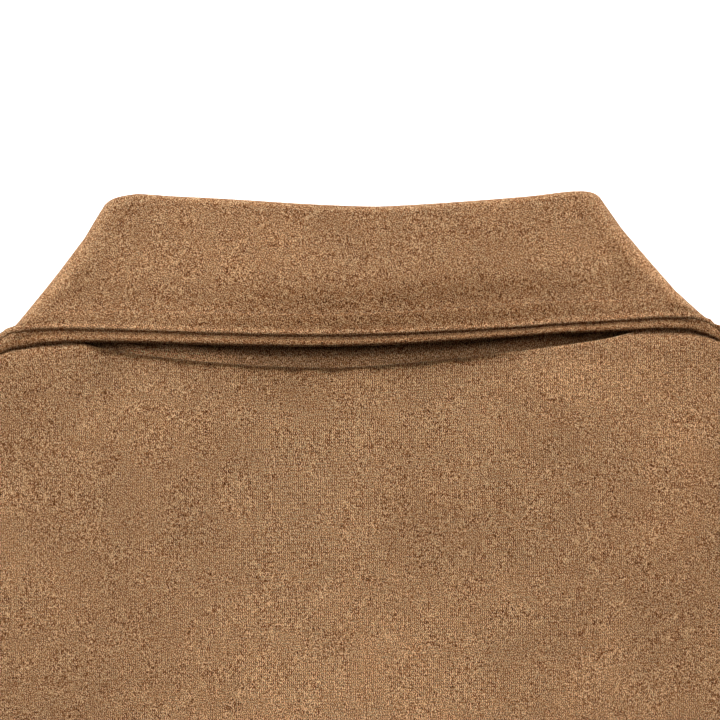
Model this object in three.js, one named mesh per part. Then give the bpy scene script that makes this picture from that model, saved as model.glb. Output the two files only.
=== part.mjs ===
// A suede shirt jacket laid flat on a table, face down, with its back up and its collar turned down.
// Each cut piece of cloth is one closed wall around a middle surface, and the buttons are turned discs.
// Millimetres: x runs across the back, y from the hem towards the collar, z up from the table.
// The lines below are worked out with the middle of the back neck seam at x = 0, y = 0.
import * as THREE from "three";

const cloth = {
  wall: 1.6,
  standWall: 1.8,
  seamGap: 1.05,
  hemDepth: 28,
  hemStep: 0.8,
};

// Heights of the middle of the wall where the layers lie on each other.
const layers = {
  under: 0.8, // fronts and lower side of the sleeves, on the table
  upper: 7.8, // back and upper side of the sleeves, beside a folded edge
  loft: 2.4, // how much higher the cloth lies away from its folded edges
  loftReach: 70,
  neckUnder: 5.7, // the fronts lie on the collar leaves here
  neckUpper: 11.9,
  neckNear: 118,
  neckFar: 265,
  neckOval: 1.1, // the raised ground round the neck is this much shorter than it is wide
  leafNear: 3,
  leafFar: 34,
  foldInset: 30, // the soft folds die out this near a folded edge
  foldTaper: { rise: [-0.12, 0.3], fall: [0.6, 1.12] },
};

const neck = {
  half: 103,
  shoulderRise: 15, // neck end of the shoulder above the middle of the back neck
  curveRise: 10.2,
  curvePower: 1.6,
  cornerPower: 16,
  lowPointX: -7.5,
  tilt: 0.008,
  frontDepth: 78,
  frontPower: 2.2,
};

const body = {
  shoulderX: 248,
  shoulderSlope: 0.34,
  shoulderHollow: 0.6,
  pitX: 290,
  pitY: -250,
  armholeScoop: 14,
  armholePower: 2.4,
  hemX: 282,
  waist: 4,
  hemY: -680,
  hemSideRise: 4,
  overlap: 16, // how far each front passes the centre line
  lapNear: 1.5, // the raised front comes down between these distances past the overlap
  lapFar: 9,
};

const sleeve = {
  topControl: [480, -122],
  cuffTop: [705, -410],
  cuffWidth: 118,
  underFirst: [482, -318],
  rootClear: 0.6,
  pitClear: 1.6,
  clearGrows: [0.75, 0.95],
  bulgeReach: 0.42, // share of the sleeve over which the armhole's curve straightens
  bulgePower: 1.5,
  hemStart: 0.957,
};

const collar = {
  fallWall: 2.0,
  edgeWall: 2.6,
  edgeBand: 8,
  rollRadius: 2.0,
  standTurn: 6, // from the roll down to the seam with the stand, inside the neck
  rollLowX: 9,
  rollLowY: 52.3,
  rollRise: 5.7,
  rollReach: 87,
  rollPower: 1.35,
  rollShift: -1.8,
  middleHeight: 8.55, // the fold at each side of the neck turns about this height
  standRadius: 3.35,
  fallRadius: 7.35,
  edgeMiddleY: 7.45,
  edgeRise: 3.6,
  edgeLowX: -6,
  edgeRiseEnd: 0.9,
  edgeDropStart: 0.88,
  edgeLift: 1.7,
  edgeDrop: 1.75,
  liftPower: 2.2,
  alongPower: 1.4,
  cornerStart: 0.8,
  bowPower: 5,
  axisReach: 0.15,
  rollSwell: { x: -48, reach: 32, rise: 0.7 },
  rollDrift: 12, // how far the roll line slips along the side fold as it passes round it
  rollDriftSkew: -2,
  edgeDrift: 30,
  edgeDriftSkew: 1, // more on the right, less on the left
  slipPower: 3,
  frontRollY: -50,
  endX: 24,
  leafPoint: [72, -125],
  leafControl: [126, -62],
};

// Outline of the turned-down collar at its side folds, seen from above.
const sideFold = [
  { along: 0, x: 86.0, y: 57.0 },
  { along: 0.2, x: 92.6, y: 46.6 },
  { along: 0.4, x: 100.9, y: 36.2 },
  { along: 0.6, x: 109.3, y: 26.2 },
  { along: 0.78, x: 117.2, y: 18.0 },
  { along: 0.9, x: 124.0, y: 12.8 },
  { along: 1, x: 131.5, y: 9.0 },
];

// How much of its slip the outer edge has made at a turn of so many degrees round the side fold.
const edgeSlip = [
  { turn: 0, share: 0 },
  { turn: 20, share: 0.12 },
  { turn: 27, share: 0.22 },
  { turn: 32, share: 0.34 },
  { turn: 45, share: 0.44 },
  { turn: 90, share: 0.57 },
  { turn: 180, share: 0.72 },
];

// Thickness of the collar beside its outer edge: half walls outside and inside the middle surface.
const edgeProfile = [
  { fromEdge: 0, outer: 0.8, inner: 0.8 },
  { fromEdge: 0.6, outer: 1.3, inner: 1.2 },
  { fromEdge: 1.6, outer: 1.5, inner: 1.3 },
  { fromEdge: 2.9, outer: 0.75, inner: 1.3 },
  { fromEdge: 5, outer: 1.55, inner: 1.3 },
  { fromEdge: 8, outer: 1.15, inner: 1.2 },
  { fromEdge: 14, outer: 1.0, inner: 1.0 },
];

// Soft folds of the upper layer, each a ridge from one point to another.
const folds = [
  { x0: -276, y0: -268, x1: -120, y1: -352, halfWidth: 34, height: 4.6 },
  { x0: 272, y0: -262, x1: 140, y1: -330, halfWidth: 36, height: 5.2 },
  { x0: 262, y0: -330, x1: 120, y1: -455, halfWidth: 38, height: 3.4 },
  { x0: -78, y0: -400, x1: -112, y1: -664, halfWidth: 42, height: 3.6 },
  { x0: 52, y0: -430, x1: 88, y1: -668, halfWidth: 46, height: 4.2 },
  { x0: -262, y0: -455, x1: -150, y1: -520, halfWidth: 34, height: 3.2 },
  { x0: 330, y0: -225, x1: 440, y1: -205, halfWidth: 30, height: 3.6 },
  { x0: 470, y0: -300, x1: 520, y1: -215, halfWidth: 30, height: 4.4 },
  { x0: 545, y0: -350, x1: 605, y1: -290, halfWidth: 28, height: 3.2 },
  { x0: -322, y0: -238, x1: -420, y1: -190, halfWidth: 30, height: 3.8 },
  { x0: -455, y0: -292, x1: -488, y1: -205, halfWidth: 30, height: 3.8 },
  { x0: -535, y0: -345, x1: -585, y1: -268, halfWidth: 30, height: 3.9 },
];

// The band between the neck seam and the roll.
const stand = {
  startMiddle: 0.7, // from the neck seam to its lower edge, at the middle and at the ends of the back
  startEnds: 2.4,
  startGrows: [0.6, 0.95],
  topClear: 0.5,
  levelReach: 0.65,
  retreatY: 0.5,
};

const button = {
  radius: 9.5,
  thick: 2.8,
  rim: 1.4,
  dish: 0.5,
  sides: 14,
  firstY: -104,
  pitch: 118,
  count: 5,
  flange: 1.2,
  bevel: 0.8,
  clear: 0.5,
  drapeNear: 12,
  drapeFar: 30,
  drapeEnds: [14, 60],
};

const colours = {
  suede: { color: 0x9c7552, roughness: 0.95, metalness: 0 },
  button: { color: 0x5a3d28, roughness: 0.4, metalness: 0 },
};

const clamp01 = (value) => Math.min(1, Math.max(0, value));
const mix = (a, b, t) => a + (b - a) * t;
const mixPoint = (a, b, t) => [mix(a[0], b[0], t), mix(a[1], b[1], t)];
const smooth = (from, to, value) => {
  const t = clamp01((value - from) / (to - from));
  return t * t * (3 - 2 * t);
};
const unit = ([x, y]) => {
  const length = Math.hypot(x, y) || 1;
  return [x / length, y / length];
};
const quadratic = (a, b, c, t) => mixPoint(mixPoint(a, b, t), mixPoint(b, c, t), t);

// The value of one column of a table, straight between its rows.
function tableValue(rows, key, column, at) {
  const next = rows.findIndex((row) => row[key] >= at);
  if (next === 0) return rows[0][column];
  if (next < 0) return rows[rows.length - 1][column];
  const [a, b] = [rows[next - 1], rows[next]];
  return mix(a[column], b[column], (at - a[key]) / (b[key] - a[key]));
}

// Outlines, seen from above

function backNeckY(x) {
  const bend = 1 - (x / neck.half) ** 2;
  const share = Math.abs(x - neck.lowPointX * bend) / neck.half;
  const corner = neck.shoulderRise - neck.curveRise;
  const rise = neck.curveRise * share ** neck.curvePower + corner * share ** neck.cornerPower;
  return rise + neck.tilt * x * bend;
}

function frontNeckY(x) {
  const depth = neck.frontDepth + neck.shoulderRise;
  return -neck.frontDepth + depth * (Math.abs(x) / neck.half) ** neck.frontPower;
}

function shoulderY(x) {
  const out = Math.abs(x) - neck.half;
  const hollow = body.shoulderHollow * Math.sin((Math.PI * out) / (body.shoulderX - neck.half));
  return neck.shoulderRise - body.shoulderSlope * out - hollow;
}

const shoulderPoint = [body.shoulderX, shoulderY(body.shoulderX)];
const pitPoint = [body.pitX, body.pitY];
const hemSideY = body.hemY + body.hemSideRise;

// From the shoulder point at t = 0 to the underarm at t = 1.
function armhole(t) {
  const scoop = body.armholeScoop * Math.sin(Math.PI * t);
  const x = mix(shoulderPoint[0], pitPoint[0], t ** body.armholePower) - scoop;
  return [x, mix(shoulderPoint[1], pitPoint[1], t)];
}

function sideSeam(t) {
  return [mix(body.pitX, body.hemX, t) - body.waist * Math.sin(Math.PI * t), mix(body.pitY, hemSideY, t)];
}

const hemY = (x) => body.hemY + body.hemSideRise * (x / body.hemX) ** 2;

const forearm = unit([sleeve.cuffTop[0] - sleeve.topControl[0], sleeve.cuffTop[1] - sleeve.topControl[1]]);
const cuffUnder = [
  sleeve.cuffTop[0] + forearm[1] * sleeve.cuffWidth,
  sleeve.cuffTop[1] - forearm[0] * sleeve.cuffWidth,
];
const underStart = [pitPoint[0] + sleeve.pitClear, pitPoint[1] + sleeve.pitClear];
const topLine = (t) => quadratic(shoulderPoint, sleeve.topControl, sleeve.cuffTop, t);
const underLine = (t) => quadratic(underStart, sleeve.underFirst, cuffUnder, t);

// Distances to the folded edges

function distanceToPath(points, x, y) {
  let best = Infinity;
  for (let k = 1; k < points.length; k += 1) {
    const [ax, ay] = points[k - 1];
    const [bx, by] = points[k];
    const length2 = (bx - ax) ** 2 + (by - ay) ** 2;
    const t = clamp01(((x - ax) * (bx - ax) + (y - ay) * (by - ay)) / length2);
    best = Math.min(best, Math.hypot(x - mix(ax, bx, t), y - mix(ay, by, t)));
  }
  return best;
}

const sampled = (line, count) => Array.from({ length: count + 1 }, (_, k) => line(k / count));
const shoulderPath = sampled((t) => {
  const x = mix(neck.half, body.shoulderX, t);
  return [x, shoulderY(x)];
}, 12);
const sidePath = sampled(sideSeam, 10);
const topPath = sampled(topLine, 24);
const underPath = sampled(underLine, 24);

const bodyEdge = (x, y) =>
  Math.min(distanceToPath(shoulderPath, Math.abs(x), y), distanceToPath(sidePath, Math.abs(x), y));
const sleeveEdge = (x, y) =>
  Math.min(distanceToPath(topPath, Math.abs(x), y), distanceToPath(underPath, Math.abs(x), y));

// Heights of the two layers

function nearNeck(x, y) {
  const distance = Math.hypot(x, (y - neck.shoulderRise) * layers.neckOval);
  return 1 - smooth(layers.neckNear, layers.neckFar, distance);
}

function foldHeight(x, y) {
  const { rise, fall } = layers.foldTaper;
  let height = 0;
  for (const fold of folds) {
    const [dx, dy] = [fold.x1 - fold.x0, fold.y1 - fold.y0];
    const along = ((x - fold.x0) * dx + (y - fold.y0) * dy) / (dx * dx + dy * dy);
    const across = Math.abs((x - fold.x0) * dy - (y - fold.y0) * dx) / Math.hypot(dx, dy);
    const taper = smooth(...rise, along) * (1 - smooth(...fall, along));
    height += fold.height * taper * (1 - smooth(0, fold.halfWidth, across));
  }
  return height;
}

function upperHeight(x, y, edge) {
  const close = nearNeck(x, y);
  const inside = smooth(0, layers.loftReach, edge);
  const ridges = foldHeight(x, y) * smooth(0, layers.foldInset, edge);
  return mix(layers.upper, layers.neckUpper, close) + (1 - close) * (layers.loft * inside + ridges);
}

// The leaf of the collar under each front, as four corners in plan.
const leafCorners = [[82, 46], [131, -4], [124, -58], collar.leafPoint, [collar.endX, -46]];

function overLeaf(x, y) {
  let out = -Infinity;
  leafCorners.forEach(([ax, ay], k) => {
    const [bx, by] = leafCorners[(k + 1) % leafCorners.length];
    const across = ((Math.abs(x) - ax) * (ay - by) + (y - ay) * (bx - ax)) / Math.hypot(bx - ax, by - ay);
    out = Math.max(out, across);
  });
  return 1 - smooth(layers.leafNear, layers.leafFar, out);
}

const buttonY = (k) => button.firstY - button.pitch * k;

// The fronts lie over the row of buttons as one low ridge.
function overButtons(x, y) {
  const past = Math.max(0, y - button.firstY, buttonY(button.count - 1) - y);
  const across = 1 - smooth(button.drapeNear, button.drapeFar, Math.abs(x));
  return across * (1 - smooth(button.drapeEnds[0], button.drapeEnds[1], past));
}

function underHeight(x, y) {
  const rise = button.thick + button.clear;
  return mix(layers.under, layers.neckUnder, overLeaf(x, y)) + rise * overButtons(x, y);
}

// Both layers turn to meet half way up at a folded edge, as a quarter of a round.
function turned(height, other, edge) {
  const middle = (height + other) / 2;
  const radius = Math.abs(height - other) / 2;
  const round = Math.sqrt(1 - (1 - Math.min(1, edge / radius)) ** 2);
  const start = middle + (Math.sign(height - middle) * cloth.seamGap) / 2;
  return mix(start, height, round);
}

const upperBody = (x, y) => {
  const edge = bodyEdge(x, y);
  return turned(upperHeight(x, y, edge), underHeight(x, y), edge);
};
const underBody = (x, y) => {
  const edge = bodyEdge(x, y);
  return turned(underHeight(x, y), upperHeight(x, y, edge), edge);
};

// Walls

// One closed wall around a grid of middle points. grid[i][j] is a THREE.Vector3, outer and inner give the half
// thickness there, and a ring closes on itself along i.
function wallGeometry(grid, outer, inner, ring = false) {
  const [columns, rows] = [grid.length, grid[0].length];
  const at = (i, j) => {
    const column = ring ? (i + columns) % columns : Math.min(columns - 1, Math.max(0, i));
    return grid[column][Math.min(rows - 1, Math.max(0, j))];
  };
  const positions = [];
  const index = (side, i, j) => (side * columns + (i % columns)) * rows + j;
  for (const side of [0, 1]) {
    for (let i = 0; i < columns; i += 1) {
      for (let j = 0; j < rows; j += 1) {
        const along = at(i + 1, j).clone().sub(at(i - 1, j));
        const down = at(i, j + 1).clone().sub(at(i, j - 1));
        const normal = along.cross(down).normalize();
        const away = side ? -inner(i, j) : outer(i, j);
        const point = grid[i][j].clone().addScaledVector(normal, away);
        positions.push(point.x, point.y, point.z);
      }
    }
  }
  const triangles = [];
  const quad = (a, b, c, d) => triangles.push(a, b, c, a, c, d);
  const lastColumn = ring ? columns : columns - 1;
  for (let i = 0; i < lastColumn; i += 1) {
    for (let j = 0; j < rows - 1; j += 1) {
      quad(index(0, i, j), index(0, i + 1, j), index(0, i + 1, j + 1), index(0, i, j + 1));
      quad(index(1, i, j), index(1, i, j + 1), index(1, i + 1, j + 1), index(1, i + 1, j));
    }
    quad(index(0, i, 0), index(1, i, 0), index(1, i + 1, 0), index(0, i + 1, 0));
    quad(index(0, i + 1, rows - 1), index(1, i + 1, rows - 1), index(1, i, rows - 1), index(0, i, rows - 1));
  }
  if (!ring) {
    for (let j = 0; j < rows - 1; j += 1) {
      quad(index(0, 0, j + 1), index(1, 0, j + 1), index(1, 0, j), index(0, 0, j));
      const end = columns - 1;
      quad(index(0, end, j), index(1, end, j), index(1, end, j + 1), index(0, end, j + 1));
    }
  }
  const geometry = new THREE.BufferGeometry();
  geometry.setAttribute("position", new THREE.Float32BufferAttribute(positions, 3));
  geometry.setIndex(triangles);
  geometry.computeVertexNormals();
  return geometry;
}

function clothMesh(name, geometry) {
  const mesh = new THREE.Mesh(geometry, new THREE.MeshStandardMaterial(colours.suede));
  mesh.name = name;
  return mesh;
}

// The same column positions serve every folded edge: shares of the quarter round, from its rim inwards.
const roundShares = [0, 0.134, 0.5, 1];
const roundReach = 3.6;
const roundInsets = roundShares.map((share) => share * roundReach);

// The armhole as one line of points, shared by the body pieces and the sleeves.
const armholeShares = [0.12, 0.25, 0.38, 0.51, 0.64, 0.77, 0.89, 1];
const armholeLine = [
  ...roundInsets.map((inset) => [body.shoulderX, shoulderPoint[1] - inset]),
  ...armholeShares.map(armhole),
];

// The side of the body from shoulder to hem, as rows that every body piece shares.
function bodyRows(rowHeights) {
  const rows = armholeLine.map(([x, y]) => ({ x, y }));
  for (const y of rowHeights) {
    const t = (body.pitY - y) / (body.pitY - hemSideY);
    rows.push({ x: sideSeam(t)[0], y });
  }
  return rows;
}

// Down a column from its top edge: the first rows keep their distance, the others share what is left.
function stretched(top, bottom, drop, sideDrop) {
  if (drop <= roundReach) return top - drop;
  return top - roundReach - ((drop - roundReach) * (top - bottom - roundReach)) / (sideDrop - roundReach);
}

const sideDrop = shoulderPoint[1] - hemSideY;

function panelPoint(topX, x, topEdge, row, height) {
  const y = stretched(topEdge(topX), hemY(x), shoulderPoint[1] - row.y, sideDrop);
  return new THREE.Vector3(x, y, height(x, y));
}

const aboveHem = (y) => y - body.hemY;
const turnedUp = (point) => 1 - smooth(cloth.hemDepth - 1, cloth.hemDepth, aboveHem(point.y));
const hemInner = (point) => cloth.wall / 2 + cloth.hemStep * turnedUp(point);
const hemRows = [
  -262, -285, -315, -350, -390, -432, -476, -520, -564, -608,
  hemSideY + cloth.hemDepth, hemSideY + cloth.hemDepth - 2, hemSideY,
];

// Back: one piece, no seam down its middle, as none shows

function backPanel() {
  const rows = bodyRows(hemRows);
  const neckShare = neck.half / (body.shoulderX - roundReach);
  const inside = [0, 0.1, 0.2, 0.3, 0.37, neckShare, 0.52, 0.62, 0.74, 0.86, 0.96];
  const columns = [
    ...roundInsets.map((inset) => ({ share: -1, inset })),
    ...[...inside].reverse().slice(0, -1).map((share) => ({ share: -share })),
    ...inside.map((share) => ({ share })),
    ...[...roundInsets].reverse().map((inset) => ({ share: 1, inset })),
  ];
  const topEdge = (x) => (Math.abs(x) < neck.half ? backNeckY(x) : shoulderY(x));
  const place = ({ share, inset }, halfWidth) =>
    inset === undefined ? share * (halfWidth - roundReach) : share * (halfWidth - inset);
  const grid = columns.map((column) =>
    rows.map((row) => {
      const [topX, x] = [place(column, body.shoulderX), place(column, row.x)];
      return panelPoint(topX, x, topEdge, row, upperBody);
    }),
  );
  const geometry = wallGeometry(grid, () => cloth.wall / 2, (i, j) => hemInner(grid[i][j]));
  return clothMesh("back", outwards(geometry));
}

// Fronts: the left one lies outside, so under the right one where they overlap

function frontPanel(side, name) {
  const rows = bodyRows([-266, -310, -380, -460, -540, -590, -615, -640, -660, hemSideY]);
  const centreColumns = [-body.overlap, -12, 0, 12, 17.5, 24, 32].map((x) => ({ x }));
  const neckColumns = [44, 56, 68, 80, 92, neck.half].map((x) => ({ topX: x }));
  const outColumns = [0.25, 0.5, 0.75].map((share) => ({
    topX: mix(neck.half, body.shoulderX - roundReach, share),
  }));
  const sideColumns = [...roundInsets].reverse().map((inset) => ({ inset }));
  const columns = [...centreColumns, ...neckColumns, ...outColumns, ...sideColumns];
  const lastCentre = centreColumns[centreColumns.length - 1].x;
  const place = (column, halfWidth) => {
    if (column.x !== undefined) return column.x;
    if (column.inset !== undefined) return halfWidth - column.inset;
    const share = (column.topX - lastCentre) / (body.shoulderX - roundReach - lastCentre);
    return mix(lastCentre, halfWidth - roundReach, share);
  };
  const topEdge = (x) => (x < neck.half ? frontNeckY(Math.max(0, x)) : shoulderY(x));
  const lap = side > 0 ? cloth.wall + cloth.seamGap : 0;
  const lapEnds = [body.overlap + body.lapNear, body.overlap + body.lapFar];
  const height = (x, y) => underBody(x, y) + lap * (1 - smooth(...lapEnds, x));
  const grid = columns.map((column) =>
    rows.map((row) => {
      const point = panelPoint(place(column, body.shoulderX), place(column, row.x), topEdge, row, height);
      point.x *= side;
      return point;
    }),
  );
  if (side < 0) grid.reverse();
  const wall = () => cloth.wall / 2;
  const geometry = wallGeometry(grid, wall, wall);
  return clothMesh(name, outwards(geometry));
}

// Sleeves: one flattened tube each, from the armhole to a turned hem

function sleeveTube(side, name) {
  const root = armholeRoot();
  const last = root.length - 1;
  const rim = [
    ...root.map((item) => ({ ...item, upper: true })),
    ...root.slice(1, last).reverse().map((item) => ({ ...item, upper: false })),
  ];
  const steps = [
    0, 0.025, 0.06, 0.11, 0.17, 0.24, 0.31, 0.38, 0.45, 0.52, 0.6, 0.68, 0.76, 0.84, 0.91, 0.955, 0.96, 1,
  ];
  const grid = rim.map((item) =>
    steps.map((t) => {
      const [x, y] = sleevePlan(t, item);
      const edge = item.inset ?? sleeveEdge(x, y);
      const upper = upperHeight(x * side, y, edge);
      const lower = underHeight(x, y);
      const level = item.upper ? turned(upper, lower, edge) : turned(lower, upper, edge);
      return new THREE.Vector3(x * side, y, item.inset === 0 ? (upper + lower) / 2 : level);
    }),
  );
  if (side < 0) grid.reverse();
  const inner = (i, j) => cloth.wall / 2 + (steps[j] > sleeve.hemStart ? cloth.hemStep : 0);
  const geometry = wallGeometry(grid, () => cloth.wall / 2, inner, true);
  return clothMesh(name, outwards(geometry));
}

// The points of the armhole that the sleeve meets, just clear of it, with their shares of the sleeve's width.
function armholeRoot() {
  const line = [...armholeLine];
  const [pit, before] = [line[line.length - 1], line[line.length - 2]];
  const back = unit([before[0] - pit[0], before[1] - pit[1]]);
  line.pop();
  for (const inset of [...roundInsets].reverse()) {
    line.push([pit[0] + back[0] * inset, pit[1] + back[1] * inset]);
  }
  const reach = line.map((point, k) => {
    const previous = line[Math.max(0, k - 1)];
    return Math.hypot(point[0] - previous[0], point[1] - previous[1]);
  });
  const total = reach.reduce((sum, step) => sum + step, 0);
  const last = line.length - 1;
  let done = 0;
  return line.map((point, k) => {
    done += reach[k];
    const [a, b] = [line[Math.max(0, k - 1)], line[Math.min(last, k + 1)]];
    const tangent = unit([b[0] - a[0], b[1] - a[1]]);
    const clear = mix(sleeve.rootClear, sleeve.pitClear, smooth(...sleeve.clearGrows, done / total));
    const seam = [point[0] - tangent[1] * clear, point[1] + tangent[0] * clear];
    const item = { seam, share: (done - roundReach) / (total - 2 * roundReach) };
    if (k < roundInsets.length) return { ...item, end: 0, inset: roundInsets[k] };
    if (k > last - roundInsets.length) return { ...item, end: 1, inset: roundInsets[last - k] };
    return item;
  });
}

// Where a line of the sleeve lies at t: straight across from fold to fold, but following the armhole near it.
function sleevePlan(t, item) {
  const [top, bottom] = [topLine(t), underLine(t)];
  const across = (from, to) => {
    const width = Math.hypot(to[0] - from[0], to[1] - from[1]);
    const inner = mix(roundReach, width - roundReach, item.share);
    const away = item.inset === undefined ? inner : Math.abs(item.end * width - item.inset);
    return mixPoint(from, to, away / width);
  };
  const straight = across(top, bottom);
  const rootStraight = across(shoulderPoint, underStart);
  const bulge = (1 - smooth(0, sleeve.bulgeReach, t)) ** sleeve.bulgePower;
  return [
    straight[0] + (item.seam[0] - rootStraight[0]) * bulge,
    straight[1] + (item.seam[1] - rootStraight[1]) * bulge,
  ];
}

// A geometry whose faces point out, turned round if they pointed in.
function outwards(geometry) {
  const position = geometry.getAttribute("position");
  const index = geometry.getIndex();
  const [a, b, c] = [new THREE.Vector3(), new THREE.Vector3(), new THREE.Vector3()];
  let volume = 0;
  for (let k = 0; k < index.count; k += 3) {
    a.fromBufferAttribute(position, index.getX(k));
    b.fromBufferAttribute(position, index.getX(k + 1));
    c.fromBufferAttribute(position, index.getX(k + 2));
    volume += a.dot(b.cross(c)) / 6;
  }
  if (volume < 0) {
    const turnedIndex = Array.from(index.array);
    for (let k = 0; k < turnedIndex.length; k += 3) {
      [turnedIndex[k + 1], turnedIndex[k + 2]] = [turnedIndex[k + 2], turnedIndex[k + 1]];
    }
    geometry.setIndex(turnedIndex);
    geometry.computeVertexNormals();
  }
  return geometry;
}

// Collar: stations run along it from its left end, round the neck, to its right end

const foldTurns = [67.5, 45, 22.5, 0, -22.5, -45, -67.5];

function foldPoint(along, degrees, side) {
  const x = tableValue(sideFold, "along", "x", along);
  const y = tableValue(sideFold, "along", "y", along);
  const ahead = Math.min(1, along + collar.axisReach);
  const behind = Math.max(0, along - collar.axisReach);
  const axis = unit([
    tableValue(sideFold, "along", "x", ahead) - tableValue(sideFold, "along", "x", behind),
    tableValue(sideFold, "along", "y", ahead) - tableValue(sideFold, "along", "y", behind),
  ]);
  const out = [-axis[1], axis[0]];
  const even = (90 - degrees) / 180;
  const slip = mix(even, tableValue(edgeSlip, "turn", "share", 90 - degrees), along ** collar.slipPower);
  const edgeDrift = collar.edgeDrift + collar.edgeDriftSkew * side;
  const drift = mix(collar.rollDrift + collar.rollDriftSkew * side, edgeDrift, along) * (slip - 0.5);
  const back = fallRadiusAt(along, 0, 1) + collar.fallWall / 2;
  const plan = [x - out[0] * back + axis[0] * drift, y - out[1] * back + axis[1] * drift];
  return { plan: [plan[0] * side, plan[1]], out: [out[0] * side, out[1]] };
}

// How far the side fold bows in from the straight line between its ends.
function foldBow(along) {
  const [first, last] = [sideFold[0], sideFold[sideFold.length - 1]];
  return ["x", "y"].map((axis) => {
    const straight = mix(first[axis], last[axis], along);
    return tableValue(sideFold, "along", axis, along) - straight;
  });
}

// Radius of the fall about the middle height: its upper side stands off most at the middle of the back.
function fallRadiusAt(along, degrees, sideways) {
  const lift = mix(collar.edgeLift, -collar.edgeDrop, Math.abs(sideways) ** collar.liftPower);
  const above = collar.fallRadius + lift * along ** collar.alongPower;
  const below = collar.fallRadius;
  const share = (1 + Math.sin((degrees * Math.PI) / 180)) / 2;
  return mix(below, above, share);
}

function rollY(x) {
  const share = Math.abs(x - collar.rollLowX) / collar.rollReach;
  const swell = collar.rollSwell.rise * Math.exp(-(((x - collar.rollSwell.x) / collar.rollSwell.reach) ** 2));
  return collar.rollLowY + collar.rollRise * share ** collar.rollPower + swell;
}

// The outer edge along the back: low near the middle, level towards the side folds, then on to their corners.
function edgeY(b, corner) {
  const x = corner[0] * b;
  const share = Math.min(1, Math.abs(x - collar.edgeLowX * (1 - b * b)) / corner[0]);
  const level = collar.edgeMiddleY + collar.edgeRise;
  const drop = (corner[1] - level) * smooth(collar.edgeDropStart, 1, Math.abs(b));
  return collar.edgeMiddleY + collar.edgeRise * smooth(0, collar.edgeRiseEnd, share) + drop;
}

function collarStations() {
  const stations = [];
  const corner = { right: foldPoint(0, 90, 1), left: foldPoint(0, 90, -1) };
  const edgeCorner = { right: foldPoint(1, 90, 1).plan, left: foldPoint(1, 90, -1).plan };
  const frontRoll = foldPoint(0, -90, 1).plan;
  const backCount = 18;
  for (const side of [-1, 1]) {
    const frontEdge = foldPoint(1, -90, side).plan;
    frontEdge[0] *= side;
    for (const g of [0.14, 0.3, 0.48, 0.66, 0.84, 1]) {
      const neckX = mix(neck.half, collar.endX, g ** 0.9);
      const rollX = mix(frontRoll[0], collar.endX, g);
      const roll = [rollX, mix(collar.frontRollY, frontRoll[1], (rollX / frontRoll[0]) ** neck.frontPower)];
      const edge = quadratic(frontEdge, collar.leafControl, collar.leafPoint, g);
      stations.push({
        order: side * (2 + g), degrees: -90, out: [side, 0], sideways: 1, bow: side * (1 - g) ** 2,
        neck: [neckX * side, frontNeckY(neckX)],
        roll: [roll[0] * side, roll[1]],
        edge: [edge[0] * side, edge[1]],
      });
    }
    for (const degrees of [90, ...foldTurns, -90]) {
      const [roll, edge] = [foldPoint(0, degrees, side), foldPoint(1, degrees, side)];
      stations.push({
        order: side * (1 + (90 - degrees) / 180), degrees, sideways: 1, bow: side,
        out: roll.out, edgeOut: edge.out,
        neck: [neck.half * side, neck.shoulderRise], roll: roll.plan, edge: edge.plan, side,
      });
    }
  }
  for (let k = 1; k < backCount; k += 1) {
    const b = mix(-1, 1, k / backCount);
    const rollX = mix(corner.left.plan[0], corner.right.plan[0], (b + 1) / 2);
    const rollEnd = (b < 0 ? corner.left : corner.right).plan;
    const missing = rollEnd[1] - rollY(rollEnd[0]);
    const cornerRise = smooth(collar.cornerStart, 1, Math.abs(b)) * missing;
    const end = b < 0 ? edgeCorner.left : edgeCorner.right;
    const reach = [Math.abs(end[0]), end[1]];
    stations.push({
      order: b, degrees: 90, out: [Math.sign(b) || 1, 0], sideways: b,
      bow: b * Math.abs(b) ** collar.bowPower,
      neck: [neck.half * b, backNeckY(neck.half * b)],
      roll: [rollX, rollY(rollX) + cornerRise],
      edge: [reach[0] * b, edgeY(b, reach)],
    });
  }
  return stations.sort((a, b) => a.order - b.order);
}

const leanCollar = (x, y) => x + collar.rollShift * smooth(10, 60, y);

// A point at a radius about the side fold, over a point in plan.
function aroundFold(plan, station, radius, out) {
  const angle = (station.degrees * Math.PI) / 180;
  const x = plan[0] + out[0] * radius * Math.cos(angle);
  const y = plan[1] + out[1] * radius * Math.cos(angle);
  return new THREE.Vector3(leanCollar(x, y), y, collar.middleHeight + radius * Math.sin(angle));
}

const edgeInsets = edgeProfile.map((row) => row.fromEdge);
const fallShares = [0.3, 0.55, 0.8, 1];
const rollAngles = [45, 90, 135, 180];

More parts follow.
